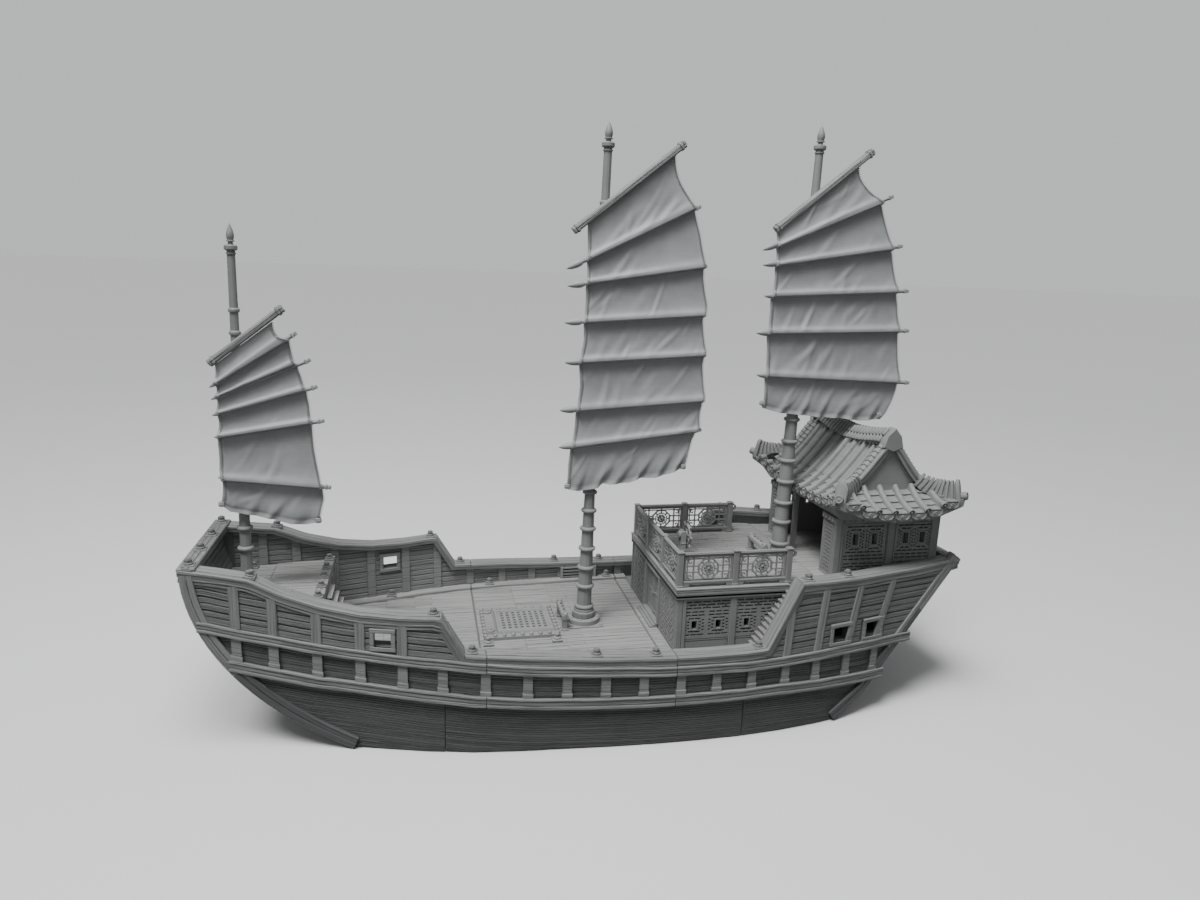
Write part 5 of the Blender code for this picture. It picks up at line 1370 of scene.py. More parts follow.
def handrail(form, place, u0, u1):
    """Handrail with a lip, and the bottom rail under the openwork."""
    section = [(-0.9, 131.4), (-1.0, 132.2), (-1.7, 132.4), (-1.7, 132.9), (-1.35, 133.1), (-1.35, 133.6),
               (-1.0, 133.9), (1.0, 133.9), (1.35, 133.6), (1.35, 133.1), (1.7, 132.9), (1.7, 132.4),
               (1.0, 132.2), (0.9, 131.4)]
    form.loft([[place(u, v, w) for w, v in section] for u in np.linspace(u0, u1, 7)], 1.0)
    lower = [(-1.5, 108.9), (-1.6, 109.2), (-1.6, 110.4), (-1.1, 111.1), (1.1, 111.1), (1.6, 110.4),
             (1.6, 109.2), (1.5, 108.9)]
    form.loft([[place(u, v, w) for w, v in lower] for u in (u0, (u0 + u1) / 2, u1)], 2.0)


openwork_finish = plastic("trim_plastic_openwork", OPENWORK_GREY, 0.55)
form = Form()


def front_plane(u, v, w):
    return RAIL_X + w, u, v


handrail(form, front_plane, -62.6, 62.6)
posts = (-RAIL_Y, -21.5, 21.5, RAIL_Y)
for a, b in zip(posts, posts[1:]):
    a += 2.2
    b -= 2.2
    rail_bay(form, front_plane, a, b)
    for c, d in ((a - 0.3, a + 6.0), (b - 6.0, b + 0.3)):
        form.block((RAIL_X - 1.5, RAIL_X + 1.5), (c, d), (RAIL_FOOT, 109.3), 0.25)
for y in posts[1:3]:
    rail_post(form, RAIL_X, y, 2.2, RAIL_TOP + 1.3)
for y in (posts[0], posts[3]):
    rail_post(form, RAIL_X, y, 2.3, RAIL_TOP + 1.5)
form.place("railing_front_openwork", "hull", "trim_plastic", openwork_finish, ("railing_front",), smooth=30)

for name, side in SIDES:
    form = Form()

    def side_plane(u, v, w, side=side):
        return u, side * (RAIL_Y + w), v

    handrail(form, side_plane, RAIL_BACK[1] + 1.6, RAIL_X - 2.9)
    for b, a in ((RAIL_X - 2.9, RAIL_BACK[0] + 2.2), (RAIL_BACK[0] - 2.2, RAIL_BACK[1] + 2.2)):
        rail_bay(form, side_plane, a, b)
        for c, d in ((a - 0.3, a + 5.0), (b - 5.0, b + 0.2)):
            form.block((c, d), (side * (RAIL_Y - 1.5), side * (RAIL_Y + 1.5)), (RAIL_FOOT, 109.3), 0.25)
    for x in RAIL_BACK:
        rail_post(form, x, side * RAIL_Y, 2.3, RAIL_TOP + 1.5)
    t = np.linspace(0, 1, 15)
    turn = math.pi * (0.5 - 1.7 * t)
    r = 2.6 * (1 - 0.62 * t)
    centre = (RAIL_BACK[1] - 3.2, 129.6)
    curl = np.stack([centre[0] - r * np.cos(turn), centre[1] + r * np.sin(turn)], 1)
    strip(form, side_plane, curl, 0.65, 1.2)
    form.place("railing_openwork_" + name, "hull", "trim_plastic", openwork_finish, ("railing_" + name,),
               smooth=30)

# Helm
# Steering wheel behind the front railing: a footed stand of two cheeks with a cross piece, and a wheel of
# eight turned spokes through a rim of joined segments, with a boss on each face.
STAND_X = -80.0
HUB = (-82.5, 0.0, 126.5)

form = Form()
form.block((-85.0, -75.0), (-8.0, 8.0), (QUARTER_TOP, 107.3), 0.4)
form.block((-83.6, -76.4), (-6.4, 6.4), (107.1, 108.2), 0.4)
cheek = [(-3.6, 107.9), (3.6, 107.9), (2.3, 112.0), (1.9, 118.0), (2.2, 123.0), (2.2, 129.0), (1.3, 130.0),
         (-1.3, 130.0), (-2.2, 129.0), (-2.2, 123.0), (-1.9, 118.0), (-2.3, 112.0)]
for side in (1, -1):
    form.loft([[(STAND_X + dx, side * y, z) for dx, z in cheek] for y in (1.6, 1.8, 3.8, 4.0)], side)
form.block((STAND_X - 1.9, STAND_X + 1.9), (-1.9, 1.9), (108.0, 129.3), 0.3)
for z in (112.8, 119.0):
    form.block((STAND_X - 2.3, STAND_X + 2.3), (-4.3, 4.3), (z, z + 1.5), 0.3)
form.turned([(0, 3.0), (0.3, 3.2), (1.4, 3.2), (1.8, 2.4)], 16, (-77.9, 0, 126.5), (-70, 0, 126.5))
for x, y in ((-83.4, 6.8), (-83.4, -6.8), (-76.6, 6.8), (-76.6, -6.8)):
    form.turned([(0, 0.8), (0.4, 0.8), (0.7, 0.3)], 8, (x, y, 107.2), (x, y, 112))
form.place("helm_cheeks", "hull", "trim_plastic", trim_finish, ("helm_stand",), smooth=35)

form = Form()
angles = 2 * np.pi * np.arange(48) / 48
section = [(7.0, -0.7), (7.3, -0.45), (7.9, -0.3), (8.3, -0.3), (8.9, -0.5), (9.05, -0.8), (9.05, -2.4),
           (8.9, -2.7), (8.3, -2.9), (7.9, -2.9), (7.3, -2.75), (7.0, -2.5)]
wreath(form, [np.stack([np.full(48, HUB[0] - 0.15 + w), HUB[1] + r * np.cos(angles),
                        HUB[2] + r * np.sin(angles)], 1)
              for r, w in section])
form.turned([(0.05, 2.2), (0.3, 2.5), (2.6, 2.5), (3.0, 2.1), (3.3, 1.5), (3.4, 0.3)], 18, HUB,
            (HUB[0] - 9, 0, HUB[2]))
for k in range(8):
    a = math.pi * k / 4
    way = Vector((0, math.cos(a), math.sin(a)))
    start = Vector((HUB[0] - 1.7, 0, HUB[2]))
    spoke = [(1.5, 0.75), (2.6, 0.75), (3.2, 1.0), (3.8, 0.65), (5.6, 0.6), (6.3, 0.9), (7.0, 0.7),
             (9.0, 0.7), (9.4, 0.95), (9.9, 0.6), (10.8, 0.75), (11.8, 0.95), (12.4, 0.75), (12.7, 0.2)]
    form.turned(spoke, 10, start, start + way)
    mid = Vector((HUB[0] - 0.15 - 0.35, 8.1 * math.cos(a + 0.39), HUB[2] + 8.1 * math.sin(a + 0.39)))
    form.turned([(0, 0.45), (0.3, 0.42), (0.45, 0.15)], 6, mid, mid + Vector((1, 0, 0)))
    back = mid - Vector((2.5, 0, 0))
    form.turned([(0, 0.45), (0.3, 0.42), (0.45, 0.15)], 6, back, back - Vector((1, 0, 0)))
form.place("helm_wheel_turned", "helm_wheel", "trim_plastic", trim_finish, ("helm_wheel",), smooth=35)

# Cabin walls
# Hollow cabin under the tiled roof: side walls with lattice round two pairs of windows, an aft wall with
# lattice panels, two front piers with narrow lattice, a slim door post and a frieze under the eaves.
CABIN_X = (-279.2, -186.0)
CABIN_Y = 61.0
CABIN_Z = (QUARTER_TOP, 156.7)
CABIN_POST_Z = (105.9, 156.4)
CABIN_WINDOWS = (-205.0, -222.0, -250.0, -265.0)

for name, side in SIDES:
    form = Form()
    cuts = []
    for a, b in ((-232.4, -194.8), (-273.0, -240.4)):
        cuts.append((a, b, 107.4, 109.9, -0.5))
        cuts += woven(a + 1.0, b - 1.0, 112.4, 3, 2.5, 6.0)
        for v in (121.3, 124.2):
            cuts += dashes(a + 1.0, b - 1.0, v, 4.2, 1.1, shift=0.4 * (v > 122))
        cuts.append((a - 0.6, a, 107.4, 151.2, -0.7))
        cuts.append((b, b + 0.6, 107.4, 151.2, -0.7))
        cuts.append((a, b, 151.0, 151.6, -0.7))
    for x in CABIN_WINDOWS:
        reach = 7.6 if x > -230 else 7.0
        cuts += ring_slots(x, 138.0, reach, 10.8, 4.0)
        cuts.append((x - 3.1, x + 3.1, 132.4, 143.6, 0.35))
        cuts.append((x - 2.3, x + 2.3, 133.4, 142.6, None))
    fretted(form, (-274.4, -192.3), CABIN_Z, WALL, cuts, lambda a, b, c: (a, side * (CABIN_Y + c), b), 11.0)
    for x, wide in ((-236.4, 2.9), (-274.0, 1.4), (-193.3, 1.0)):
        form.block((x - wide, x + wide), (side * (CABIN_Y - 0.5), side * (CABIN_Y + 0.9)), CABIN_POST_Z,
                   0.3)
    form.block((-274.2, -192.5), (side * (CABIN_Y - 0.5), side * (CABIN_Y + 1.2)), (105.9, 107.2), 0.25)
    form.block((-274.2, -192.5), (side * (CABIN_Y - 0.5), side * (CABIN_Y + 1.3)), (152.2, 156.5), 0.3)
    for k in range(16):
        x = -271.5 + 5.15 * k
        form.block((x - 1.3, x + 1.3), (side * (CABIN_Y + 0.8), side * (CABIN_Y + 2.3)), (153.3, 156.3),
                   0.3)
    form.place("cabin_side_lattice_" + name, "hull", "trim_plastic", wall_finish,
               ("cabin_side_wall_" + name,))

    form = Form()
    cuts = []
    for row in range(14):
        v = 110.0 + 3.1 * row
        if row % 4 == 3:
            cuts.append((46.2, 56.6, v - 0.5, v + 0.5, -0.8))
        else:
            cuts += dashes(46.2, 56.8, v, 4.7, 1.2, -0.8, 1.0)
    for u in (44.2, 58.2):
        cuts.append((u, u + 0.6, 107.6, 152.4, -0.6))
    cuts += uprights(108.6, 151.0, 51.35, 5.0, 7.2, -0.8, 0.9, 3.0)
    fretted(form, (41.2, 61.6), CABIN_Z, 5.9, cuts, lambda a, b, c: (-186.1 + c, side * a, b), 13.0)
    form.block((-192.0, -186.4), (side * 61.2, side * 62.2), (105.9, 156.5), 0.4)
    form.block((-192.3, -185.7), (side * 40.9, side * 62.3), (105.85, 107.4), 0.3)
    form.block((-192.2, -185.0), (side * 40.7, side * 62.4), (151.9, 156.6), 0.35)
    for k in range(4):
        y = 43.5 + 5.3 * k
        form.block((-185.6, -184.2), (side * (y - 1.3), side * (y + 1.3)), (152.8, 156.4), 0.3)
    form.place("cabin_pier_lattice_" + name, "hull", "trim_plastic", wall_finish, ("cabin_pier_" + name,))

form = Form()
cuts = []
for a, b in ((-56.0, -22.5), (-16.5, 16.5), (22.5, 56.0)):
    cuts.append((a, b, 107.6, 111.0, -0.5))
    cuts += woven(a + 1.0, b - 1.0, 114.0, 3, 2.5, 6.0)
    for v in (123.0, 126.0):
        cuts += dashes(a + 1.0, b - 1.0, v, 4.2, 1.1)
    cuts += woven(a + 1.0, b - 1.0, 130.6, 7, 2.7, 6.0)
    cuts.append((a - 0.6, a, 107.6, 152.4, -0.7))
    cuts.append((b, b + 0.6, 107.6, 152.4, -0.7))
fretted(form, (-CABIN_Y, CABIN_Y), CABIN_Z, WALL, cuts, lambda a, b, c: (CABIN_X[0] - c, a, b), 17.0)
for y in (-59.4, -19.5, 19.5, 59.4):
    form.block((CABIN_X[0] - 0.9, CABIN_X[0] + 0.5), (y - 1.9, y + 1.9), CABIN_POST_Z, 0.3)
form.block((CABIN_X[0] - 1.2, CABIN_X[0] + 0.5), (-60.8, 60.8), (152.4, 156.5), 0.3)
form.place("cabin_aft_lattice", "hull", "trim_plastic", wall_finish, ("cabin_aft_wall",))

form = Form()
form.block((-191.0, -187.0), (-17.4, -12.6), (105.9, 156.6), 0.6)
form.block((-191.4, -186.6), (-17.9, -12.1), (105.85, 108.0), 0.4)
form.block((-191.6, -186.4), (-18.1, -11.9), (152.5, 156.6), 0.5)
form.block((-187.3, -186.4), (-16.2, -13.8), (110.0, 150.5), 0.3)
form.place("cabin_door_post_turned", "hull", "trim_plastic", openwork_finish, ("cabin_door_post",))

# Cabin roof
# Hip-and-gable roof printed in one piece: a curved bed with upturned corners, round tile ribs with discs at
# the eave, stepped flat tiles between them, drip tiles, a tiled ridge with plain six-sided ends, and bars
# of small stacked tiles down the gables and out to the corners.
ROOF_X = -228.0
ROOF_UNDER = 157.0
ROOF_HALF = 47.0
CORNER_OUT = 7.0
GABLE_Y = 60.0
ROOF_SIDE = 86.0
EAVE_Z = 167.0
TOP_Z = 218.0
SKIRT_Z = 180.0
CURVE = 1.35
EAVE_THICK = 8.0
CORNER_LIFT = 12.0
RINGS = [(0, 0, 0), (25, 0, 0.15), (45, 0, 0.3), (60, 0, 0.62), (69, 0.4, 0.75), (77, 0.75, 0.88),
         (86, 1, 1)]
RIDGE = [(0, 221), (28, 223.5), (47, 227), (60, 229)]
RIB_PITCH = 13.4
SECTION = (1.0, 0.95, 0.88, 0.82, 0.76, 0.7, 0.636, 0.5, 0.4, 0.2, 0.0)
SKIRT_X = (-35, -21, -7, 7, 21, 35)
RIB_R = 2.1
VALLEY = 2.0
ROOF_GREY = (0.27, 0.273, 0.274)


def roof_height(u):
    return EAVE_Z + (TOP_Z - EAVE_Z) * (1 - np.minimum(u, 1.0)) ** CURVE


def roof_break(z):
    return 1 - ((z - EAVE_Z) / (TOP_Z - EAVE_Z)) ** (1 / CURVE)


def corner_at(y):
    """Share of the corner's lift at y."""
    return float(np.interp(abs(y), [r[0] for r in RINGS], [r[2] for r in RINGS]))


def slope_point(u, y, corner=None):
    """Distance out from the ridge and height of the bed on the front or aft slope."""
    c = corner_at(y) if corner is None else corner
    return ROOF_HALF * u + CORNER_OUT * c**3 * u**2, float(roof_height(u)) + CORNER_LIFT * c**1.5 * u**3


def skirt_height(y):
    s = float(np.interp(abs(y), [r[0] for r in RINGS], [r[1] for r in RINGS]))
    return SKIRT_Z + (EAVE_Z - SKIRT_Z) * (1 - (1 - s) ** 1.25)


def bed_section(y):
    """Section of the hipped part at y, from the front eave over the top to the aft eave and underneath."""
    c = corner_at(y)
    z_skirt = skirt_height(y)

    def skirt_rise(x):
        return z_skirt + CORNER_LIFT * c**1.5 * abs(x / ROOF_HALF)**3

    front = []
    for u in SECTION:
        x, z = slope_point(u, y)
        sunk = VALLEY * float(np.clip((1 - u) / 0.06, 0, 1))
        front.append((x, min(z, skirt_rise(x)) - sunk))
    out = float(np.clip((abs(y) - 69) / 8, 0, 1))
    under = front[0][1] - EAVE_THICK
    inner_x = 41 - 11 * out
    inner_z = ROOF_UNDER + (skirt_rise(inner_x) - EAVE_THICK - ROOF_UNDER) * out
    middle_z = ROOF_UNDER + (z_skirt - EAVE_THICK - ROOF_UNDER) * out
    section = front + [(-x, z) for x, z in front[-2::-1]]
    section += [(-front[0][0] + 1.2, under), (-inner_x, inner_z), (0, middle_z), (inner_x, inner_z),
                (front[0][0] - 1.2, under)]
    return [(ROOF_X + x, y, z) for x, z in section]


def steps_along(points, normals, pitch, marks):
    """Place, normal and value at each mark (share of a step, value) of each step along a run."""
    d = np.concatenate([[0], np.cumsum(np.linalg.norm(np.diff(points, axis=0), axis=1))])
    count = max(1, int(round(d[-1] / pitch)))
    for k in range(count):
        for share, value in marks:
            at = d[-1] * (k + share) / count
            yield tuple(np.array([np.interp(at, d, v[:, m]) for m in range(3)])
                        for v in (points, normals)) + (value,)


def tile_run(form, points, normals, sides, wide, seed, pitch, first, rise):
    """Stepped flat tiles along a run; normals point up from the slope and sides across it."""
    rings = []
    marks = ((0.0, first), (0.9, first + rise), (0.985, first + rise - 0.12), (1.0, first))
    for p, n, lift in steps_along(points, normals, pitch, marks):
        ring = [p + sides * wide * w + n * (lift + 0.5 * w * w) for w in (-1, -0.6, 0, 0.6, 1)]
        rings.append(ring + [p + sides * wide - n * 1.6, p - sides * wide - n * 1.6])
    form.loft(rings, seed)


def barrel(form, points, normals, sides, radius, seed, pitch=11.0, step=0.14, lift=0.0):
    """Round rib of overlapping barrel tiles along a run, with straight sides below."""
    angles = np.radians([180, 150, 120, 90, 60, 30, 0])
    rings = []
    marks = ((0.0, 0.0), (0.5, step * 0.7), (0.95, step), (0.985, step * 0.9), (1.0, 0.0))
    for p, n, extra in steps_along(points, normals, pitch, marks):
        r = radius + extra
        arch = [p + n * lift + sides * r * math.cos(a) + n * (r * math.sin(a)) for a in angles]
        rings.append([p - sides * r - n * 2.4] + arch + [p + sides * r - n * 2.4])
    form.loft(rings, seed)


def slope_run(y, end, u0, u1, count=14):
    """Points and normals down the front (end 1) or aft (end -1) slope at y."""
    points = []
    for u in np.linspace(u0, u1, count):
        x, z = slope_point(u, y)
        points.append((ROOF_X + end * x, y, z))
    points = np.array(points)
    steps = headings(points)
    normals = np.stack([-steps[:, 2] * end, np.zeros(count), steps[:, 0] * end], 1)
    return points, normals


def skirt_run(x, side, y0, y1, count=6):
    """Points and normals down the side skirt at x from the middle."""
    points = []
    for y in np.linspace(y0, y1, count):
        lift = CORNER_LIFT * corner_at(y)**1.5 * abs(x / ROOF_HALF)**3
        points.append((ROOF_X + x, side * y, skirt_height(y) + lift))
    points = np.array(points)
    steps = headings(points)
    return points, np.stack([np.zeros(count), -steps[:, 2] * side, steps[:, 1] * side], 1)


DISC = [(-3.0, 2.4), (-0.4, 2.6), (0.3, 2.75), (1.3, 2.8), (1.65, 2.55), (1.7, 2.2), (0.5, 1.95),
        (0.5, 1.2), (1.5, 1.0), (1.9, 0.6), (1.95, 0.1)]


def drip(form, place, out, wide, seed):
    """Drip tile: a pointed plate with a ring, hung from the eave; out is the way it faces."""
    place = np.array(place, float)
    out = np.array(out, float)
    side = np.cross((0, 0, 1.0), out)
    outline = [(-1, 1.6), (-1, -1.4), (-0.86, -2.9), (-0.55, -4.0), (0, -4.5), (0.55, -4.0), (0.86, -2.9),
               (1, -1.4), (1, 1.6)]
    rings = []
    for depth, share in ((-1.2, 0.94), (1.3, 1.0), (1.75, 0.92), (1.75, 0.8), (1.35, 0.74)):
        ring = []
        for a, b in outline:
            drop = np.array([0, 0, b * (share if b < 0 else 1)])
            ring.append(place + side * a * wide * share + drop + out * depth)
        rings.append(ring)
    form.loft(rings, seed)
    centre = place + out * 1.1 + np.array([0, 0, -1.6])
    form.turned([(0, 1.9), (0.75, 1.9), (1.0, 1.6), (1.0, 1.2), (0.4, 1.0), (0.45, 0.7), (1.1, 0.5),
                 (1.2, 0.1)], 12,
                centre, centre + out)


roof_finish = plastic("roof_plastic_tiles", ROOF_GREY, 0.56)
form = Form()
ys = np.array([-86, -81, -77, -73, -69, -64.5, -60, -52, -45, -35, -25, -12, 0, 12, 25, 35, 45, 52, 60,
               64.5, 69, 73, 77, 81, 86], float)
form.loft([bed_section(y) for y in ys], 1.0)
top_u = float(roof_break(SKIRT_Z))
base = ROOF_HALF * top_u - 0.5
half = [(base, SKIRT_Z - 6), (base, SKIRT_Z)]
half += [(ROOF_HALF * top_u * f, float(roof_height(top_u * f))) for f in np.linspace(1, 0, 13)[1:]]
outline = [(ROOF_X + x, z) for x, z in half] + [(ROOF_X - x, z) for x, z in half[-2::-1]]
form.loft([[(x, y, z) for x, z in outline] for y in (-GABLE_Y, -GABLE_Y + 0.1, GABLE_Y - 0.1, GABLE_Y)],
          2.0)
form.place("roof_bed", "hull", "roof_plastic", roof_finish, ("cabin_roof",), smooth=30)

form = Form()
for end in (1, -1):
    sides = np.array([0, 1.0, 0])
    for k in range(-4, 4):
        y = RIB_PITCH * (k + 0.5)
        points, normals = slope_run(y, end, 0.1, 0.985)
        barrel(form, points, normals, sides, RIB_R, k + end, lift=1.3)
        tip = points[-1] + normals[-1] * 0.9 + np.array([end * 0.7, 0, 0])
        form.turned(DISC, 16, tip, tip + np.array([end * 0.97, 0, -0.22]))
    for k in range(-4, 5):
        y = RIB_PITCH * k
        points, normals = slope_run(y, end, 0.1, 0.99)
        tile_run(form, points, normals, sides, 5.0, k * 1.3, 8.0, -2.2, 1.6)
        drip(form, (points[-1][0] - end * 0.1, y, points[-1][2] - 1.6), np.array([end, 0, 0]), 6.3, k)
    for side in (1, -1):
        for y in (60.0, 71.0):
            points, normals = slope_run(y * side, end, 0.9, 0.985)
            barrel(form, points, normals, sides, RIB_R * 0.95, y, lift=1.0)
            tip = points[-1] + normals[-1] * 0.6
            form.turned(DISC, 16, tip, tip + np.array([end * 0.97, 0, -0.22]))
        for y in (65.5, 77.5):
            points, normals = slope_run(y * side, end, 0.9, 0.985)
            drip(form, (points[-1][0] - end * 0.1, y * side, points[-1][2] - 1.6), np.array([end, 0, 0]),
                 5.4, y)
form.place("roof_slope_tiles", "hull", "roof_plastic", roof_finish, smooth=38)

form = Form()
for side in (1, -1):
    sides = np.array([1.0, 0, 0])
    for k, x in enumerate(SKIRT_X):
        points, normals = skirt_run(x, side, GABLE_Y - 0.5, ROOF_SIDE - 0.6)
        points[0] += normals[0] * 1.2
        barrel(form, points, normals, sides, RIB_R * 1.05, k, 14.0, 0.14, 1.2)
        tip = points[-1] + normals[-1] * 0.9 + np.array([0, side * 0.7, 0])
        form.turned(DISC, 16, tip, tip + np.array([0, side * 0.96, -0.25]))
    for k in range(-3, 4):
        x = 14.0 * k
        points, normals = skirt_run(x, side, GABLE_Y - 0.5, ROOF_SIDE - 0.2)
        tile_run(form, points, normals, sides, 5.0 if abs(k) < 3 else 4.2, k, 8.0, -1.4, 1.5)
        drip(form, (ROOF_X + x, side * (ROOF_SIDE - 0.3), points[-1][2] - 1.6), np.array([0, side, 0]), 6.7,
             k)
form.place("roof_skirt_tiles", "hull", "roof_plastic", roof_finish, smooth=38)

# Ridge and bars of the roof
# The ridge has a roll of barrel tiles over two rows of small arched ones. The gable bars have two rows of
# small tiles beside a plain round moulding, and the hip bars are fans of tall plates that run out to the
# corners and end in a six-sided plate.
RIDGE_END = [(-8.6, 214), (-6.2, 223), (0, 229.5), (6.2, 223), (8.6, 214), (0, 210.5)]
GABLE_BAR = [(0.06, 8.0), (0.25, 9.0), (0.45, 8.0), (0.66, 6.5), (0.86, 5.0)]
HIP_BAR = [(0.56, 61, 0.62, 9.0), (0.78, 69, 0.75, 13.0), (0.97, 81, 0.94, 14.0)]
PLATES = 9
ARCHES = ((3.9, -2.6, 1.85), (6.6, -7.8, 1.9))

RIDGE_BASE = [(-5.2, -13.5), (-2.6, -3.6), (-2.0, -2.0), (2.0, -2.0), (2.6, -3.6), (5.2, -13.5)]
form = Form()
ridge_y = np.linspace(-60, 60, 41)
ridge_z = np.interp(abs(ridge_y), [p[0] for p in RIDGE], [p[1] for p in RIDGE])
ridge_z = np.convolve(np.pad(ridge_z, 2, mode="edge"), np.ones(5) / 5, "valid")
form.loft([[(ROOF_X + dx, y, z + dz) for dx, dz in RIDGE_BASE] for y, z in zip(ridge_y, ridge_z)], 1.0)
points = np.stack([np.full(41, ROOF_X), ridge_y, ridge_z - 3.1], 1)
up = np.tile([0, 0, 1.0], (41, 1))
barrel(form, points, up, np.array([1.0, 0, 0]), 2.7, 2.0, 5.0, 0.45)
for row, (out, drop, r) in enumerate(ARCHES):
    for k in range(25):
        y = -57.6 + 4.8 * k + (2.4 if row else 0)
        if abs(y) > 58:
            continue
        z = float(np.interp(y, ridge_y, ridge_z)) + drop
        for end in (1, -1):
            start = Vector((ROOF_X + end * (out - 1.4), y, z + 2.0))
            way = Vector((end * 0.62, 0, -0.78))
            form.turned([(0, r * 0.75), (0.8, r * 0.92), (5.6, r), (6.3, r * 0.8), (5.7, r * 0.5)], 10,
                        start, start + way)
for side in (1, -1):
    rings = []
    for y, grow in ((GABLE_Y - 4, 1.0), (GABLE_Y + 3.7, 1.0), (GABLE_Y + 4.4, 0.93)):
        rings.append([(ROOF_X + x * grow, side * y, 220 + (z - 220) * grow) for x, z in RIDGE_END])
    form.loft(rings, 3.0)
    for end in (1, -1):
        us = np.linspace(GABLE_BAR[0][0], GABLE_BAR[-1][0], 16)
        high = np.interp(us, [b[0] for b in GABLE_BAR], [b[1] for b in GABLE_BAR])
        points, rings = [], []
        for u, h in zip(us, high):
            x, z = slope_point(u, 60.0, 0.62)
            points.append((ROOF_X + end * x, side * 60.0, z + h - 2.4))
            section = ((52.4, -3.0), (52.4, h - 5.0), (61.0, h - 2.6), (63.2, h - 3.8), (63.2, -3.0))
            rings.append([(ROOF_X + end * x, side * y, z + b) for y, b in section])
        form.loft(rings, 4.0)
        points = np.array(points)
        steps = headings(points)
        normals = np.stack([-steps[:, 2] * end, np.zeros(16), steps[:, 0] * end], 1)
        for y, sunk in ((54.0, 2.3), (58.9, 0.3)):
            barrel(form, points + (0, (y - 60.0) * side, 0) - normals * sunk, normals,
                   np.array([0, 1.0, 0]), 2.0, y, 4.6, 1.0)
        form.tube(points[:14] + (0, 2.6 * side, 0) - normals[:14] * 1.9, 1.75, 10)
        path = []
        for s in np.linspace(0, 1, PLATES):
            u, y, c, h = (np.interp(s, (0, 0.5, 1), [b[k] for b in HIP_BAR]) for k in range(4))
            x, z = slope_point(u, y, c)
            path.append((ROOF_X + end * x, side * y, z, h))
        path = np.array(path)
        steps = headings(path[:, :3])
        core = []
        for k in range(PLATES):
            p, step, h = path[k, :3], steps[k], path[k, 3]
            cross = np.cross(step, (0, 0, 1.0))
            cross /= np.linalg.norm(cross)
            rise = np.cross(cross, step)
            rise = rise if rise[2] > 0 else -rise
            core.append([p + cross * a + rise * b
                         for a, b in ((-2.6, -3.0), (-2.6, h - 4.2), (2.6, h - 4.2), (2.6, -3.0))])
            last = k == PLATES - 1
            thick = 1.8 if last else 1.25
            wide = 1.3 if last else 1.0
            arch = [(-3.4, -3.0), (-3.6, h - 4.2), (-1.9, h - 0.4), (1.9, h - 0.4), (3.6, h - 4.2),
                    (3.4, -3.0)]
            rings = []
            for along, grow in ((-thick, 0.9), (-thick * 0.7, 1.0), (thick * 0.7, 1.0), (thick, 0.9)):
                ring = []
                for a, b in arch:
                    up_by = b * (grow if b > 0 else 1)
                    ring.append(p + step * along + cross * a * grow * wide + rise * up_by)
                rings.append(ring)
            form.loft(rings, k * 0.9)
        form.loft(core, 7.0)
        tip = np.array(path[-1, :3]) + (end * 1.2, side * 1.2, 1.0)
        way = np.array([end * 0.62, side * 0.75, 0.20])
        form.turned([(-4, 3.0), (3.4, 3.3), (4.4, 3.2), (4.9, 2.9), (4.9, 2.3), (4.3, 2.0), (4.4, 1.3),
                     (5.0, 0.9), (5.1, 0.1)],
                    16, tip, tip + way)
form.place("roof_ridge_and_bars", "hull", "roof_plastic", roof_finish, smooth=38)

# Masts
# Faceted poles with round rings like those of bamboo, a stepped foot and a turned cap with a bud on top.
# Each leans a little aft and turns in its step.
MASTS = {
    # foot x, foot z, top z, rake in degrees, (distance, radius) up the mast, ring distances, facets
    "fore": (265.4, 96.3, 349.0, 0.5, ((0, 4.6), (48, 3.9), (253, 2.7)), (11, 32, 48, 193, 209), 12),
    "main": (3.5, 55.8, 434.0, 1.1, ((0, 6.4), (110, 4.2), (379, 3.1)),
             (11.5, 29.5, 45.5, 62, 79, 94.5, 110, 336), 12),
    "mizzen": (-168.4, QUARTER_TOP, 442.7, 1.0, ((0, 6.9), (110, 5.0), (337, 3.1)),
               (10.5, 30, 47, 65.5, 84, 100.5, 119.5), 24),
}
MAST_GREY = (0.265, 0.268, 0.268)
BULB = [(-1.9, 0.0), (-1.5, 0.5), (-0.9, 0.88), (0.0, 1.0), (0.9, 0.88), (1.5, 0.5), (1.9, 0.0)]


def mast_radius(name, z):
    """Radius of a mast at a height."""
    taper = MASTS[name][4]
    return np.interp(np.asarray(z, float) - MASTS[name][1], [p[0] for p in taper], [p[1] for p in taper])


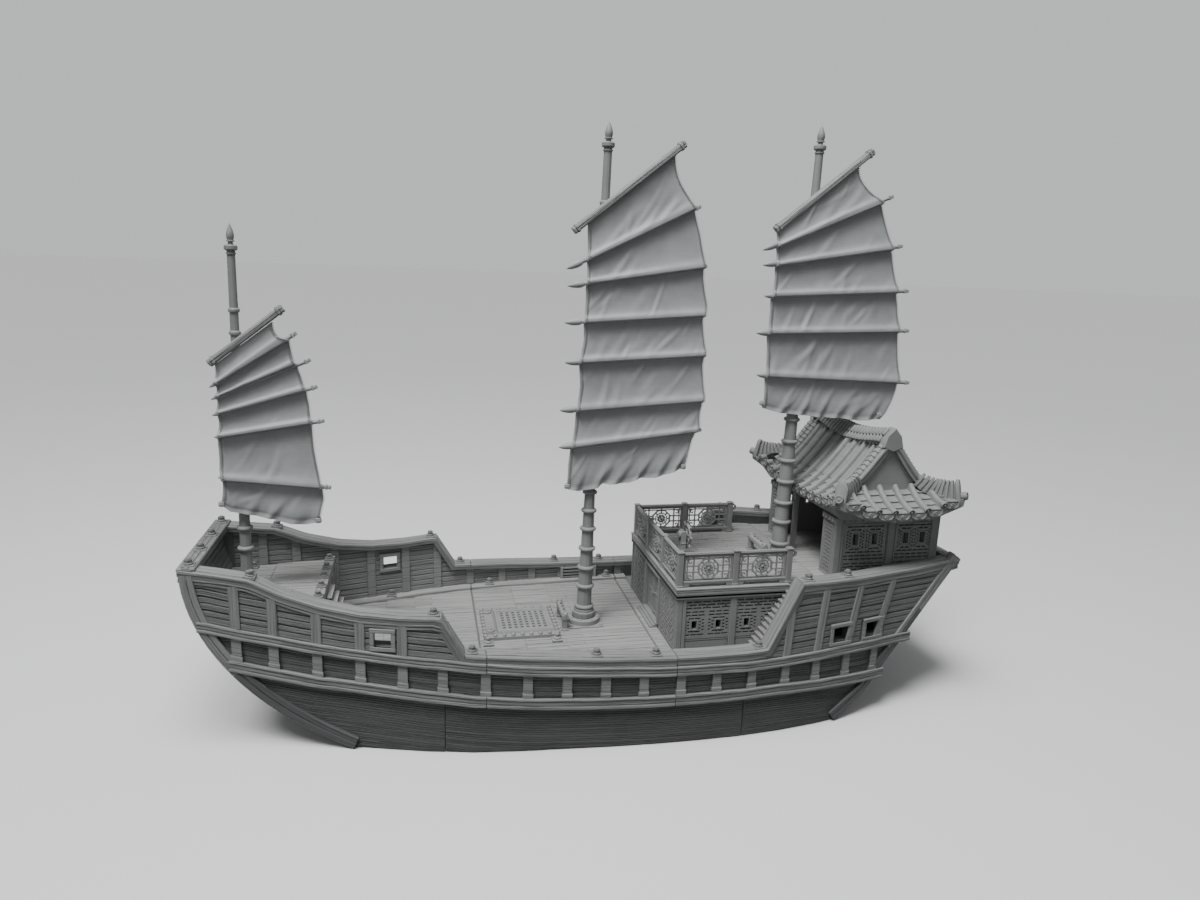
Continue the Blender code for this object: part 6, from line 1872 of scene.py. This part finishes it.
mast_finish = plastic("mast_plastic_layers", MAST_GREY, 0.52)
for name, (x, z0, z1, rake, taper, rings, facets) in MASTS.items():
    form = Form()
    foot = Vector((x, 0, z0))
    up = Vector((-math.sin(math.radians(rake)), 0, math.cos(math.radians(rake))))
    length = z1 - z0
    base = taper[0][1]
    tip = taper[-1][1]
    shaft = [(2.0, float(mast_radius(name, z0 + 2)))]
    shaft += [(d, float(mast_radius(name, z0 + d)))
              for d in (taper[1][0] * 0.5, taper[1][0], length * 0.75)]
    shaft += [(length - 1, tip)]
    form.turned(shaft, facets, foot, foot + up)
    collar = [(0, base * 1.24), (0.5, base * 1.3), (2.6, base * 1.3), (3.1, base * 1.2), (3.3, base * 1.08),
              (5.6, base * 1.06), (6.2, base * 1.0), (6.4, base * 0.9)]
    if name == "main":
        collar = [(0, 9.2), (0.3, 9.35), (7.2, 9.35), (7.6, 9.0), (7.7, 8.2), (9.5, 8.1), (9.8, 7.7),
                  (9.9, 5.9)]
        for k in range(12):
            a = math.pi * k / 6
            form.block((x + 8.9 * math.cos(a) - 0.6, x + 8.9 * math.cos(a) + 0.6),
                       (8.9 * math.sin(a) - 0.6, 8.9 * math.sin(a) + 0.6), (z0 + 3.0, z0 + 7.2), 0.2,
                       Matrix.Rotation(a, 4, "Z"))
    form.turned(collar, 28, foot, foot + up)
    for d in rings:
        r = float(mast_radius(name, z0 + d))
        bulge = 1.9 if d < length * 0.5 else 1.1
        form.turned([(d + a, r - 0.3 + (bulge + 0.3) * b) for a, b in BULB], 28, foot, foot + up)
    cap = [(-5.2, tip - 0.2), (-4.9, tip + 0.7), (-4.1, tip + 0.7), (-3.8, tip + 0.1), (-2.6, tip + 0.2),
           (-2.2, tip + 1.3), (-1.6, tip + 1.8), (0.6, tip + 1.8), (1.2, tip + 1.4), (1.4, tip * 0.8),
           (2.6, tip * 0.6), (3.4, tip * 0.62), (3.7, tip * 1.05), (4.3, tip * 1.05), (4.6, tip * 0.75),
           (6.2, tip * 0.92), (8.0, tip * 0.98), (10.4, tip * 0.82), (12.8, tip * 0.52), (14.8, tip * 0.22),
           (16.0, 0.1)]
    form.turned([(length + d, r) for d, r in cap], 24, foot, foot + up)
    form.place(name + "_mast_pole", name + "_mast", "mast_plastic", mast_finish, (name + "_mast",),
               smooth=27)

# Yards
# Squared bars that carry the head of each sail, with a grooved face and a thicker notched block at either
# end. Each stands off its mast by a small gap.
YARDS = {"fore": (281.0, 267.9, 230.0, 308.1, 0.3), "main": (22.1, 369.9, -61.1, 437.2, 1.4),
         "mizzen": (-139.5, 377.8, -216.9, 441.4, 0.3)}
YARD_R = 2.6
YARD_GREY = (0.31, 0.313, 0.313)
BAR = [(-1.0, -0.75), (-0.8, -0.95), (0.8, -0.95), (1.0, -0.75), (1.0, 0.35), (0.72, 0.42), (0.62, 0.95),
       (0.12, 1.0), (0.05, 0.8), (-0.05, 0.8), (-0.12, 1.0), (-0.62, 0.95), (-0.72, 0.42), (-1.0, 0.35)]

yard_finish = plastic("mast_plastic_spars", YARD_GREY, 0.54, 0.3)
for name, (xa, za, xb, zb, gap) in YARDS.items():
    form = Form()
    length = math.hypot(xb - xa, zb - za)
    x_foot, z_foot, _, rake = MASTS[name][:4]
    mast_x = x_foot - math.tan(math.radians(rake)) * ((za + zb) / 2 - z_foot)
    crossing = za + (zb - za) * (mast_x - xa) / (xb - xa)
    y = float(mast_radius(name, crossing)) + gap + YARD_R
    along = np.array([xb - xa, 0, zb - za]) / length
    across = np.array([-along[2], 0, along[0]])
    stations = [(0, 2.5), (0.4, 2.9), (2.0, 2.9), (2.2, 2.5), (2.7, 2.5), (2.9, 3.3), (4.6, 3.3),
                (4.9, 2.62)]
    stations += [(d, 2.62) for d in np.linspace(8, length - 8, 9)]
    stations += [(length - d, r) for d, r in stations[7::-1]]
    start = np.array([xa, y, za])
    form.loft([[start + along * d + across * (a * r) + np.array([0, b * r, 0]) for a, b in BAR]
               for d, r in stations], 1.0)
    form.place(name + "_yard_spar", name + "_mast", "mast_plastic", yard_finish, (name + "_yard",),
               smooth=25)

# Sails
# Rigid printed sails in the shape of cloth: flat panels that flare out over each batten and tuck in under
# it, long slanting folds, gathers at the foot and a stitched rope down the luff. Battens run behind the
# cloth, leaf-shaped at the luff and ending in a small block at the leech.
SAILS = {
    # rows: luff x, z, leech x, z; battens: luff tip x, z, leech tip x, z; then the measured edges (x, z)
    "fore": dict(
        rows=[(276, 268.2, 237.5, 298.2), (277, 254, 227, 286), (276.5, 245, 221, 269),
              (276.5, 232.5, 215, 250), (276.5, 215.5, 213, 225.5), (277, 184, 207, 176.5),
              (278, 164, 212, 149.5)],
        battens=[(282, 250.8, 221.4, 290.7), (281.3, 242.2, 212.6, 271.5), (281.4, 230.7, 208.6, 251.9),
                 (281.1, 214.6, 204.6, 226.7), (280.2, 184.9, 201.4, 175.6)],
        luff=[(275.9, 266.5), (277.3, 254.4), (276.4, 247.3), (277.1, 235), (276.5, 224.1), (278, 209.4),
              (277.8, 190.9), (276.2, 183.4), (278.1, 163.7)],
        leech=[(239.1, 298.8), (233.6, 287.6), (227, 285.6), (224.2, 271.4), (219.9, 260.6), (216.9, 249.7),
               (214.6, 238.6), (213.8, 223.8), (212.4, 205), (210.2, 189.7), (207.9, 174.2), (206.8, 166.4),
               (210.9, 150.9)],
        foot=[(278.1, 163.7), (272.9, 159), (259.3, 156.3), (245.5, 152.7), (231.7, 148.4), (221.1, 147.3),
              (210.9, 149.5)]),
    "main": dict(
        rows=[(10, 377.2, -54.4, 429.2), (10, 350, -72, 391), (10, 332.3, -80, 347.5),
              (11, 303.2, -85, 310.5), (13, 272.4, -86, 279.0), (16, 234.8, -87, 242.5),
              (20, 205.5, -85, 217.5), (21, 172, -74, 186.5)],
        battens=[(26.6, 342.1, -76.7, 392.7), (25.5, 329.6, -84.5, 348.2), (27.1, 302.0, -86.1, 311.4),
                 (26.2, 271.5, -87.5, 279.1), (29.2, 234.1, -88.2, 242.9), (29.3, 204.6, -88.1, 218.2)],
        luff=[(10, 373.3), (10, 349.3), (10.2, 330.8), (11, 308.3), (11.1, 289.4), (13.8, 274),
              (13.2, 254.5), (15, 234.9), (18.1, 206.9), (20.9, 190.7), (21.1, 170.2)],
        leech=[(-54.7, 426.9), (-62.7, 412.3), (-69, 400.3), (-73.1, 385.9), (-78.1, 371.3), (-81.7, 352.7),
               (-82.7, 337.5), (-86.5, 318.4), (-84, 306.7), (-87.2, 283.1), (-86.3, 271.1), (-88.6, 247),
               (-86.4, 230.6), (-86.1, 222.4), (-80.9, 210), (-76.2, 189.2)],
        foot=[(21, 170.5), (11.3, 168.6), (-3.3, 171.3), (-7.2, 174.6), (-13.1, 173.6), (-29.6, 174.9),
              (-37.8, 178.4), (-50.5, 178.7), (-63, 181.8), (-75, 186.7)]),
    "mizzen": dict(
        rows=[(-142, 377.4, -206.5, 430.6), (-142.6, 366, -230, 403), (-142.6, 351.2, -244, 367.5),
              (-141.5, 327, -252, 333.5), (-140, 297.6, -256, 301.2), (-141, 263, -260, 258.6),
              (-140, 237, -246, 226.5)],
        battens=[(-129.9, 362.1, -238.5, 408.5), (-130.9, 350.7, -251.5, 370.1),
                 (-133.8, 326.7, -261.6, 334.3), (-129.4, 297.3, -265.9, 301.6),
                 (-132.2, 263.5, -271.7, 257.8)],
        luff=[(-142.2, 376.4), (-142.6, 343.3), (-140.9, 323.7), (-140, 303.9), (-140.9, 263.6),
              (-140.5, 236.3)],
        leech=[(-204.5, 427.9), (-215.3, 417.9), (-228.5, 403.4), (-237.8, 378.2), (-243.4, 362.6),
               (-249.1, 338.8), (-253, 322.7), (-255.6, 302.2), (-260.4, 264.5), (-260.1, 251.7),
               (-257.4, 243.1), (-252.1, 232.8), (-246.5, 225)],
        foot=[(-140.5, 236.0), (-155.1, 232.1), (-173.1, 230.4), (-191.4, 228.6), (-209.8, 227.7),
              (-228.6, 225.1), (-246.5, 226.5)]),
}
SAIL_GREY = (0.375, 0.39, 0.393)
CLOTH = 1.7
CREASE = 6.4
BEHIND = 0.5
OVER_RIDGE = 2.4
DEPTH_LIMITS = (1.9, 7.0)
ROW_POINTS = 32


def panel_depth(down, tall, first, last):
    """How far the cloth stands forward, by the distance below the panel's upper batten."""
    end = 3.0 if last else CREASE
    step = min(1.0, tall / 20)
    table = [(0, CREASE - 0.1), (0.6 * step, CREASE - 0.5), (1.3 * step, CREASE - 3.2), (2.1 * step, 1.9),
             (tall * 0.42, 2.3), (tall * 0.68, 3.1), (tall * 0.84, 3.1 + 0.36 * (end - 3.1)),
             (tall - 2.4 * step, end - 0.35), (tall, end)]
    if first:
        table[:4] = [(0, 2.5), (0.9, 2.45), (1.8, 2.35), (3.2, 2.3)]
    return hermite([(-a, b) for a, b in table], -np.asarray(down, float))


def wrinkles(x, z, rng, count, x_range, z_range, slant, size=0.62):
    """Sum of long slanting folds, each with a hollow along its lower side and fading out at its ends."""
    total = np.zeros_like(x)
    for _ in range(count):
        cx = rng.uniform(*x_range)
        cz = rng.uniform(*z_range)
        angle = slant + rng.uniform(-0.3, 0.3)
        reach = rng.uniform(8, 24)
        wide = rng.uniform(1.3, 3.4)
        high = size * rng.uniform(0.4, 1.0)
        along = (x - cx) * math.cos(angle) + (z - cz) * math.sin(angle)
        across = -(x - cx) * math.sin(angle) + (z - cz) * math.cos(angle)
        across = across + along**2 / 300
        hollow = 0.55 * np.exp(-((across + wide * 1.7) / (wide * 1.5))**2)
        total += high * np.exp(-(along / reach)**2) * (np.exp(-(across / wide)**2) - hollow)
    return total


def gathers(x, z, foot_z, rng, x_range):
    """Folds that rise from the foot, deepest at the hem."""
    total = np.zeros_like(x)
    at = x_range[0] + 7
    while at < x_range[1] - 5:
        lean = rng.uniform(-0.75, -0.35)
        wide = rng.uniform(2.4, 4.2)
        rise = z - foot_z
        across = x - at - lean * rise
        hollow = 0.7 * np.exp(-((across + wide * 1.5) / wide)**2)
        total += 1.5 * np.exp(-rise / 13.0) * (np.exp(-(across / wide)**2) - hollow)
        at += rng.uniform(13, 19)
    return total


def sail_grid(spec, columns, rows_each):
    """Points on the sail's plane with each row's panel, and the distance below the panel's upper batten."""
    rows = spec["rows"]
    luff_z = np.array([p[1] for p in spec["luff"]])[::-1]
    luff_x = np.array([p[0] for p in spec["luff"]])[::-1]
    leech_z = np.array([p[1] for p in spec["leech"]])[::-1]
    leech_x = np.array([p[0] for p in spec["leech"]])[::-1]
    share = []
    for k in range(len(rows) - 1):
        t = np.linspace(0, 1, rows_each + 1)
        t = t - 0.11 * np.sin(2 * np.pi * t)
        share += [(k, s) for s in (t if k == len(rows) - 2 else t[:-1])]
    u = np.linspace(0, 1, columns)
    grid = []
    for k, s in share:
        a, b = rows[k], rows[k + 1]
        za, zb = a[1] + (b[1] - a[1]) * s, a[3] + (b[3] - a[3]) * s
        xa = float(np.interp(za, luff_z, luff_x)) - 0.9 * math.sin(math.pi * s)
        xb = float(np.interp(zb, leech_z, leech_x)) + 0.5 * math.sin(math.pi * s)
        if k == 0:
            xa = xa * s + a[0] * (1 - s)
            xb = xb * s + a[2] * (1 - s)
        x = xa + (xb - xa) * u
        z = za + (zb - za) * u
        if k == len(rows) - 2:
            foot = np.interp(-x, [-p[0] for p in spec["foot"]], [p[1] for p in spec["foot"]])
            straight = b[1] + (b[3] - b[1]) * u
            z = z + (foot - straight) * s**2
        tall = (a[1] - b[1]) * (1 - u) + (a[3] - b[3]) * u
        grid.append(np.stack([x, z, tall, tall * s, np.full(columns, k)], 1))
    return np.array(grid), u


sail_finish = plastic("sail_plastic_cloth", SAIL_GREY, 0.5, relief=0.00006)
for number, (name, spec) in enumerate(SAILS.items()):
    rng = np.random.RandomState(31 + number)
    columns = 92 if name != "fore" else 70
    grid, u = sail_grid(spec, columns, ROW_POINTS)
    x, z, tall, down, panel = (grid[:, :, k] for k in range(5))
    last = len(spec["rows"]) - 2
    depth = np.zeros_like(x)
    for k in range(last + 1):
        here = panel == k
        depth[here] = [float(panel_depth(d, t, k == 0, k == last)) for d, t in zip(down[here], tall[here])]
    edge = np.minimum(1, np.minimum(u, 1 - u) * 9)[None]
    s = down / tall
    quiet = np.clip(np.sin(np.pi * np.clip(s, 0, 1)) * 1.7, 0.1, 1)
    x_range = (x.min(), x.max())
    z_range = (z.min(), z.max())
    small = name == "fore"
    folds = wrinkles(x, z, rng, 26 if small else 52, x_range, z_range, math.radians(121), 0.6
                     if small else 0.9)
    folds += wrinkles(x, z, rng, 8 if small else 16, x_range, z_range, math.radians(150), 0.4)
    depth = depth + folds * quiet * (0.35 + 0.65 * edge)
    depth += gathers(x, z, z[-1][None], rng, x_range) * np.where(panel == last, np.minimum(1, s * 1.6),
                                                                 0) * (0.6 if small else 1.0)
    depth = np.clip(depth, *DEPTH_LIMITS)
    back = mast_radius(name, z) + BEHIND
    front = np.stack([x, back + depth, z], 2)
    rear = np.stack([x, np.maximum(back + depth - CLOTH, back + 0.15), z], 2)
    rows_n, cols_n = x.shape
    points = np.concatenate([front.reshape(-1, 3), rear.reshape(-1, 3)])
    i, j = np.meshgrid(np.arange(rows_n - 1), np.arange(cols_n - 1), indexing="ij")
    a = i * cols_n + j
    quads = np.stack([a, a + 1, a + cols_n + 1, a + cols_n], 2).reshape(-1, 4)
    shift = rows_n * cols_n
    faces = quads[:, ::-1].tolist() + (quads + shift).tolist()
    rim = list(range(cols_n)) + [r * cols_n + cols_n - 1 for r in range(1, rows_n)]
    rim += [(rows_n - 1) * cols_n + k for k in range(cols_n - 2, -1, -1)] + [r * cols_n
                                                                             for r in range(rows_n - 2, 0,
                                                                                            -1)]
    faces += [(p, q, q + shift, p + shift) for p, q in zip(rim, rim[1:] + rim[:1])]
    form = Form()
    form.add(points, faces)
    form.place(name + "_sail_cloth", name + "_mast", "sail_plastic", sail_finish, (name + "_sail",),
               smooth=70)

    form = Form()
    foot_row = spec["rows"][-1]
    for xa, za, xb, zb in spec["battens"]:
        y = float(mast_radius(name, (za + zb) / 2)) + BEHIND + 2.0
        length = math.hypot(xb - xa, zb - za)
        leaf = 0.8 if small else 1.0
        profile = [(0, 0.2), (1.5, 1.0 * leaf), (4.0, 2.0 * leaf), (7.5, 2.7 * leaf), (10.5, 2.75 * leaf),
                   (13.0, 2.2 * leaf), (13.3, 1.6), (13.9, 1.6), (14.2, 1.8), (length - 5.4, 1.6),
                   (length - 1.0, 1.4)]
        form.turned(profile, 12, (xa, y, za), (xb, y, zb))
        turn = Matrix.Rotation(-math.atan2(zb - za, xb - xa), 3, "Y").to_4x4()
        for inward, half, reach in ((0.9, 1.5, 0.9), (3.4, 1.9, 0.8)):
            cx = xb + (xa - xb) / length * inward
            cz = zb + (za - zb) / length * inward
            form.block((cx - reach, cx + reach), (y - half, y + half), (cz - half, cz + half), 0.35, turn)
    for px, pz, way in ((foot_row[0], foot_row[1], 1), (foot_row[2], foot_row[3], -1)):
        y = float(mast_radius(name, pz)) + BEHIND + 1.85
        low = pz + (OVER_RIDGE if name == "mizzen" else 0.0)
        form.block((px - way * 1.6, px + way * 2.2), (y - 1.8, y + 2.0), (low - 1.2, low + 2.8), 0.4)
        form.turned([(-0.6, 1.0), (0, 1.9), (2.0, 2.1), (3.2, 1.6), (3.5, 0.4)], 14,
                    (px - way * 0.6, y + 0.2, low + 0.6), (px + way * 3, y + 0.2, low + 0.6))
    form.place(name + "_sail_battens", name + "_mast", "sail_plastic", sail_finish, smooth=35)

    form = Form()
    rope = front[::3, 0] + np.array([0.15, -0.55, 0])
    form.tube([tuple(p) for p in rope], 1.05, 8)
    for column, way in ((0, 1), (cols_n - 1, -1)):
        edge_points = front[:, column]
        steps = np.concatenate([[0], np.cumsum(np.linalg.norm(np.diff(edge_points, axis=0), axis=1))])
        for d in np.arange(1.0, steps[-1] - 1, 1.55):
            p = np.array([np.interp(d, steps, edge_points[:, k]) for k in range(3)])
            q = np.array([np.interp(d + 1.0, steps, edge_points[:, k]) for k in range(3)])
            inset = np.array([-way * 2.0, 0, 0])
            form.tube([p + (way * 0.9, -1.0, 0), p + (way * 0.7, 0.45, 0),
                       (p + q) / 2 + inset * 0.5 + (0, 0.4, 0), q + inset + (0, -0.35, 0)], 0.3, 4)
    form.place(name + "_sail_stitches", name + "_mast", "sail_plastic", sail_finish)
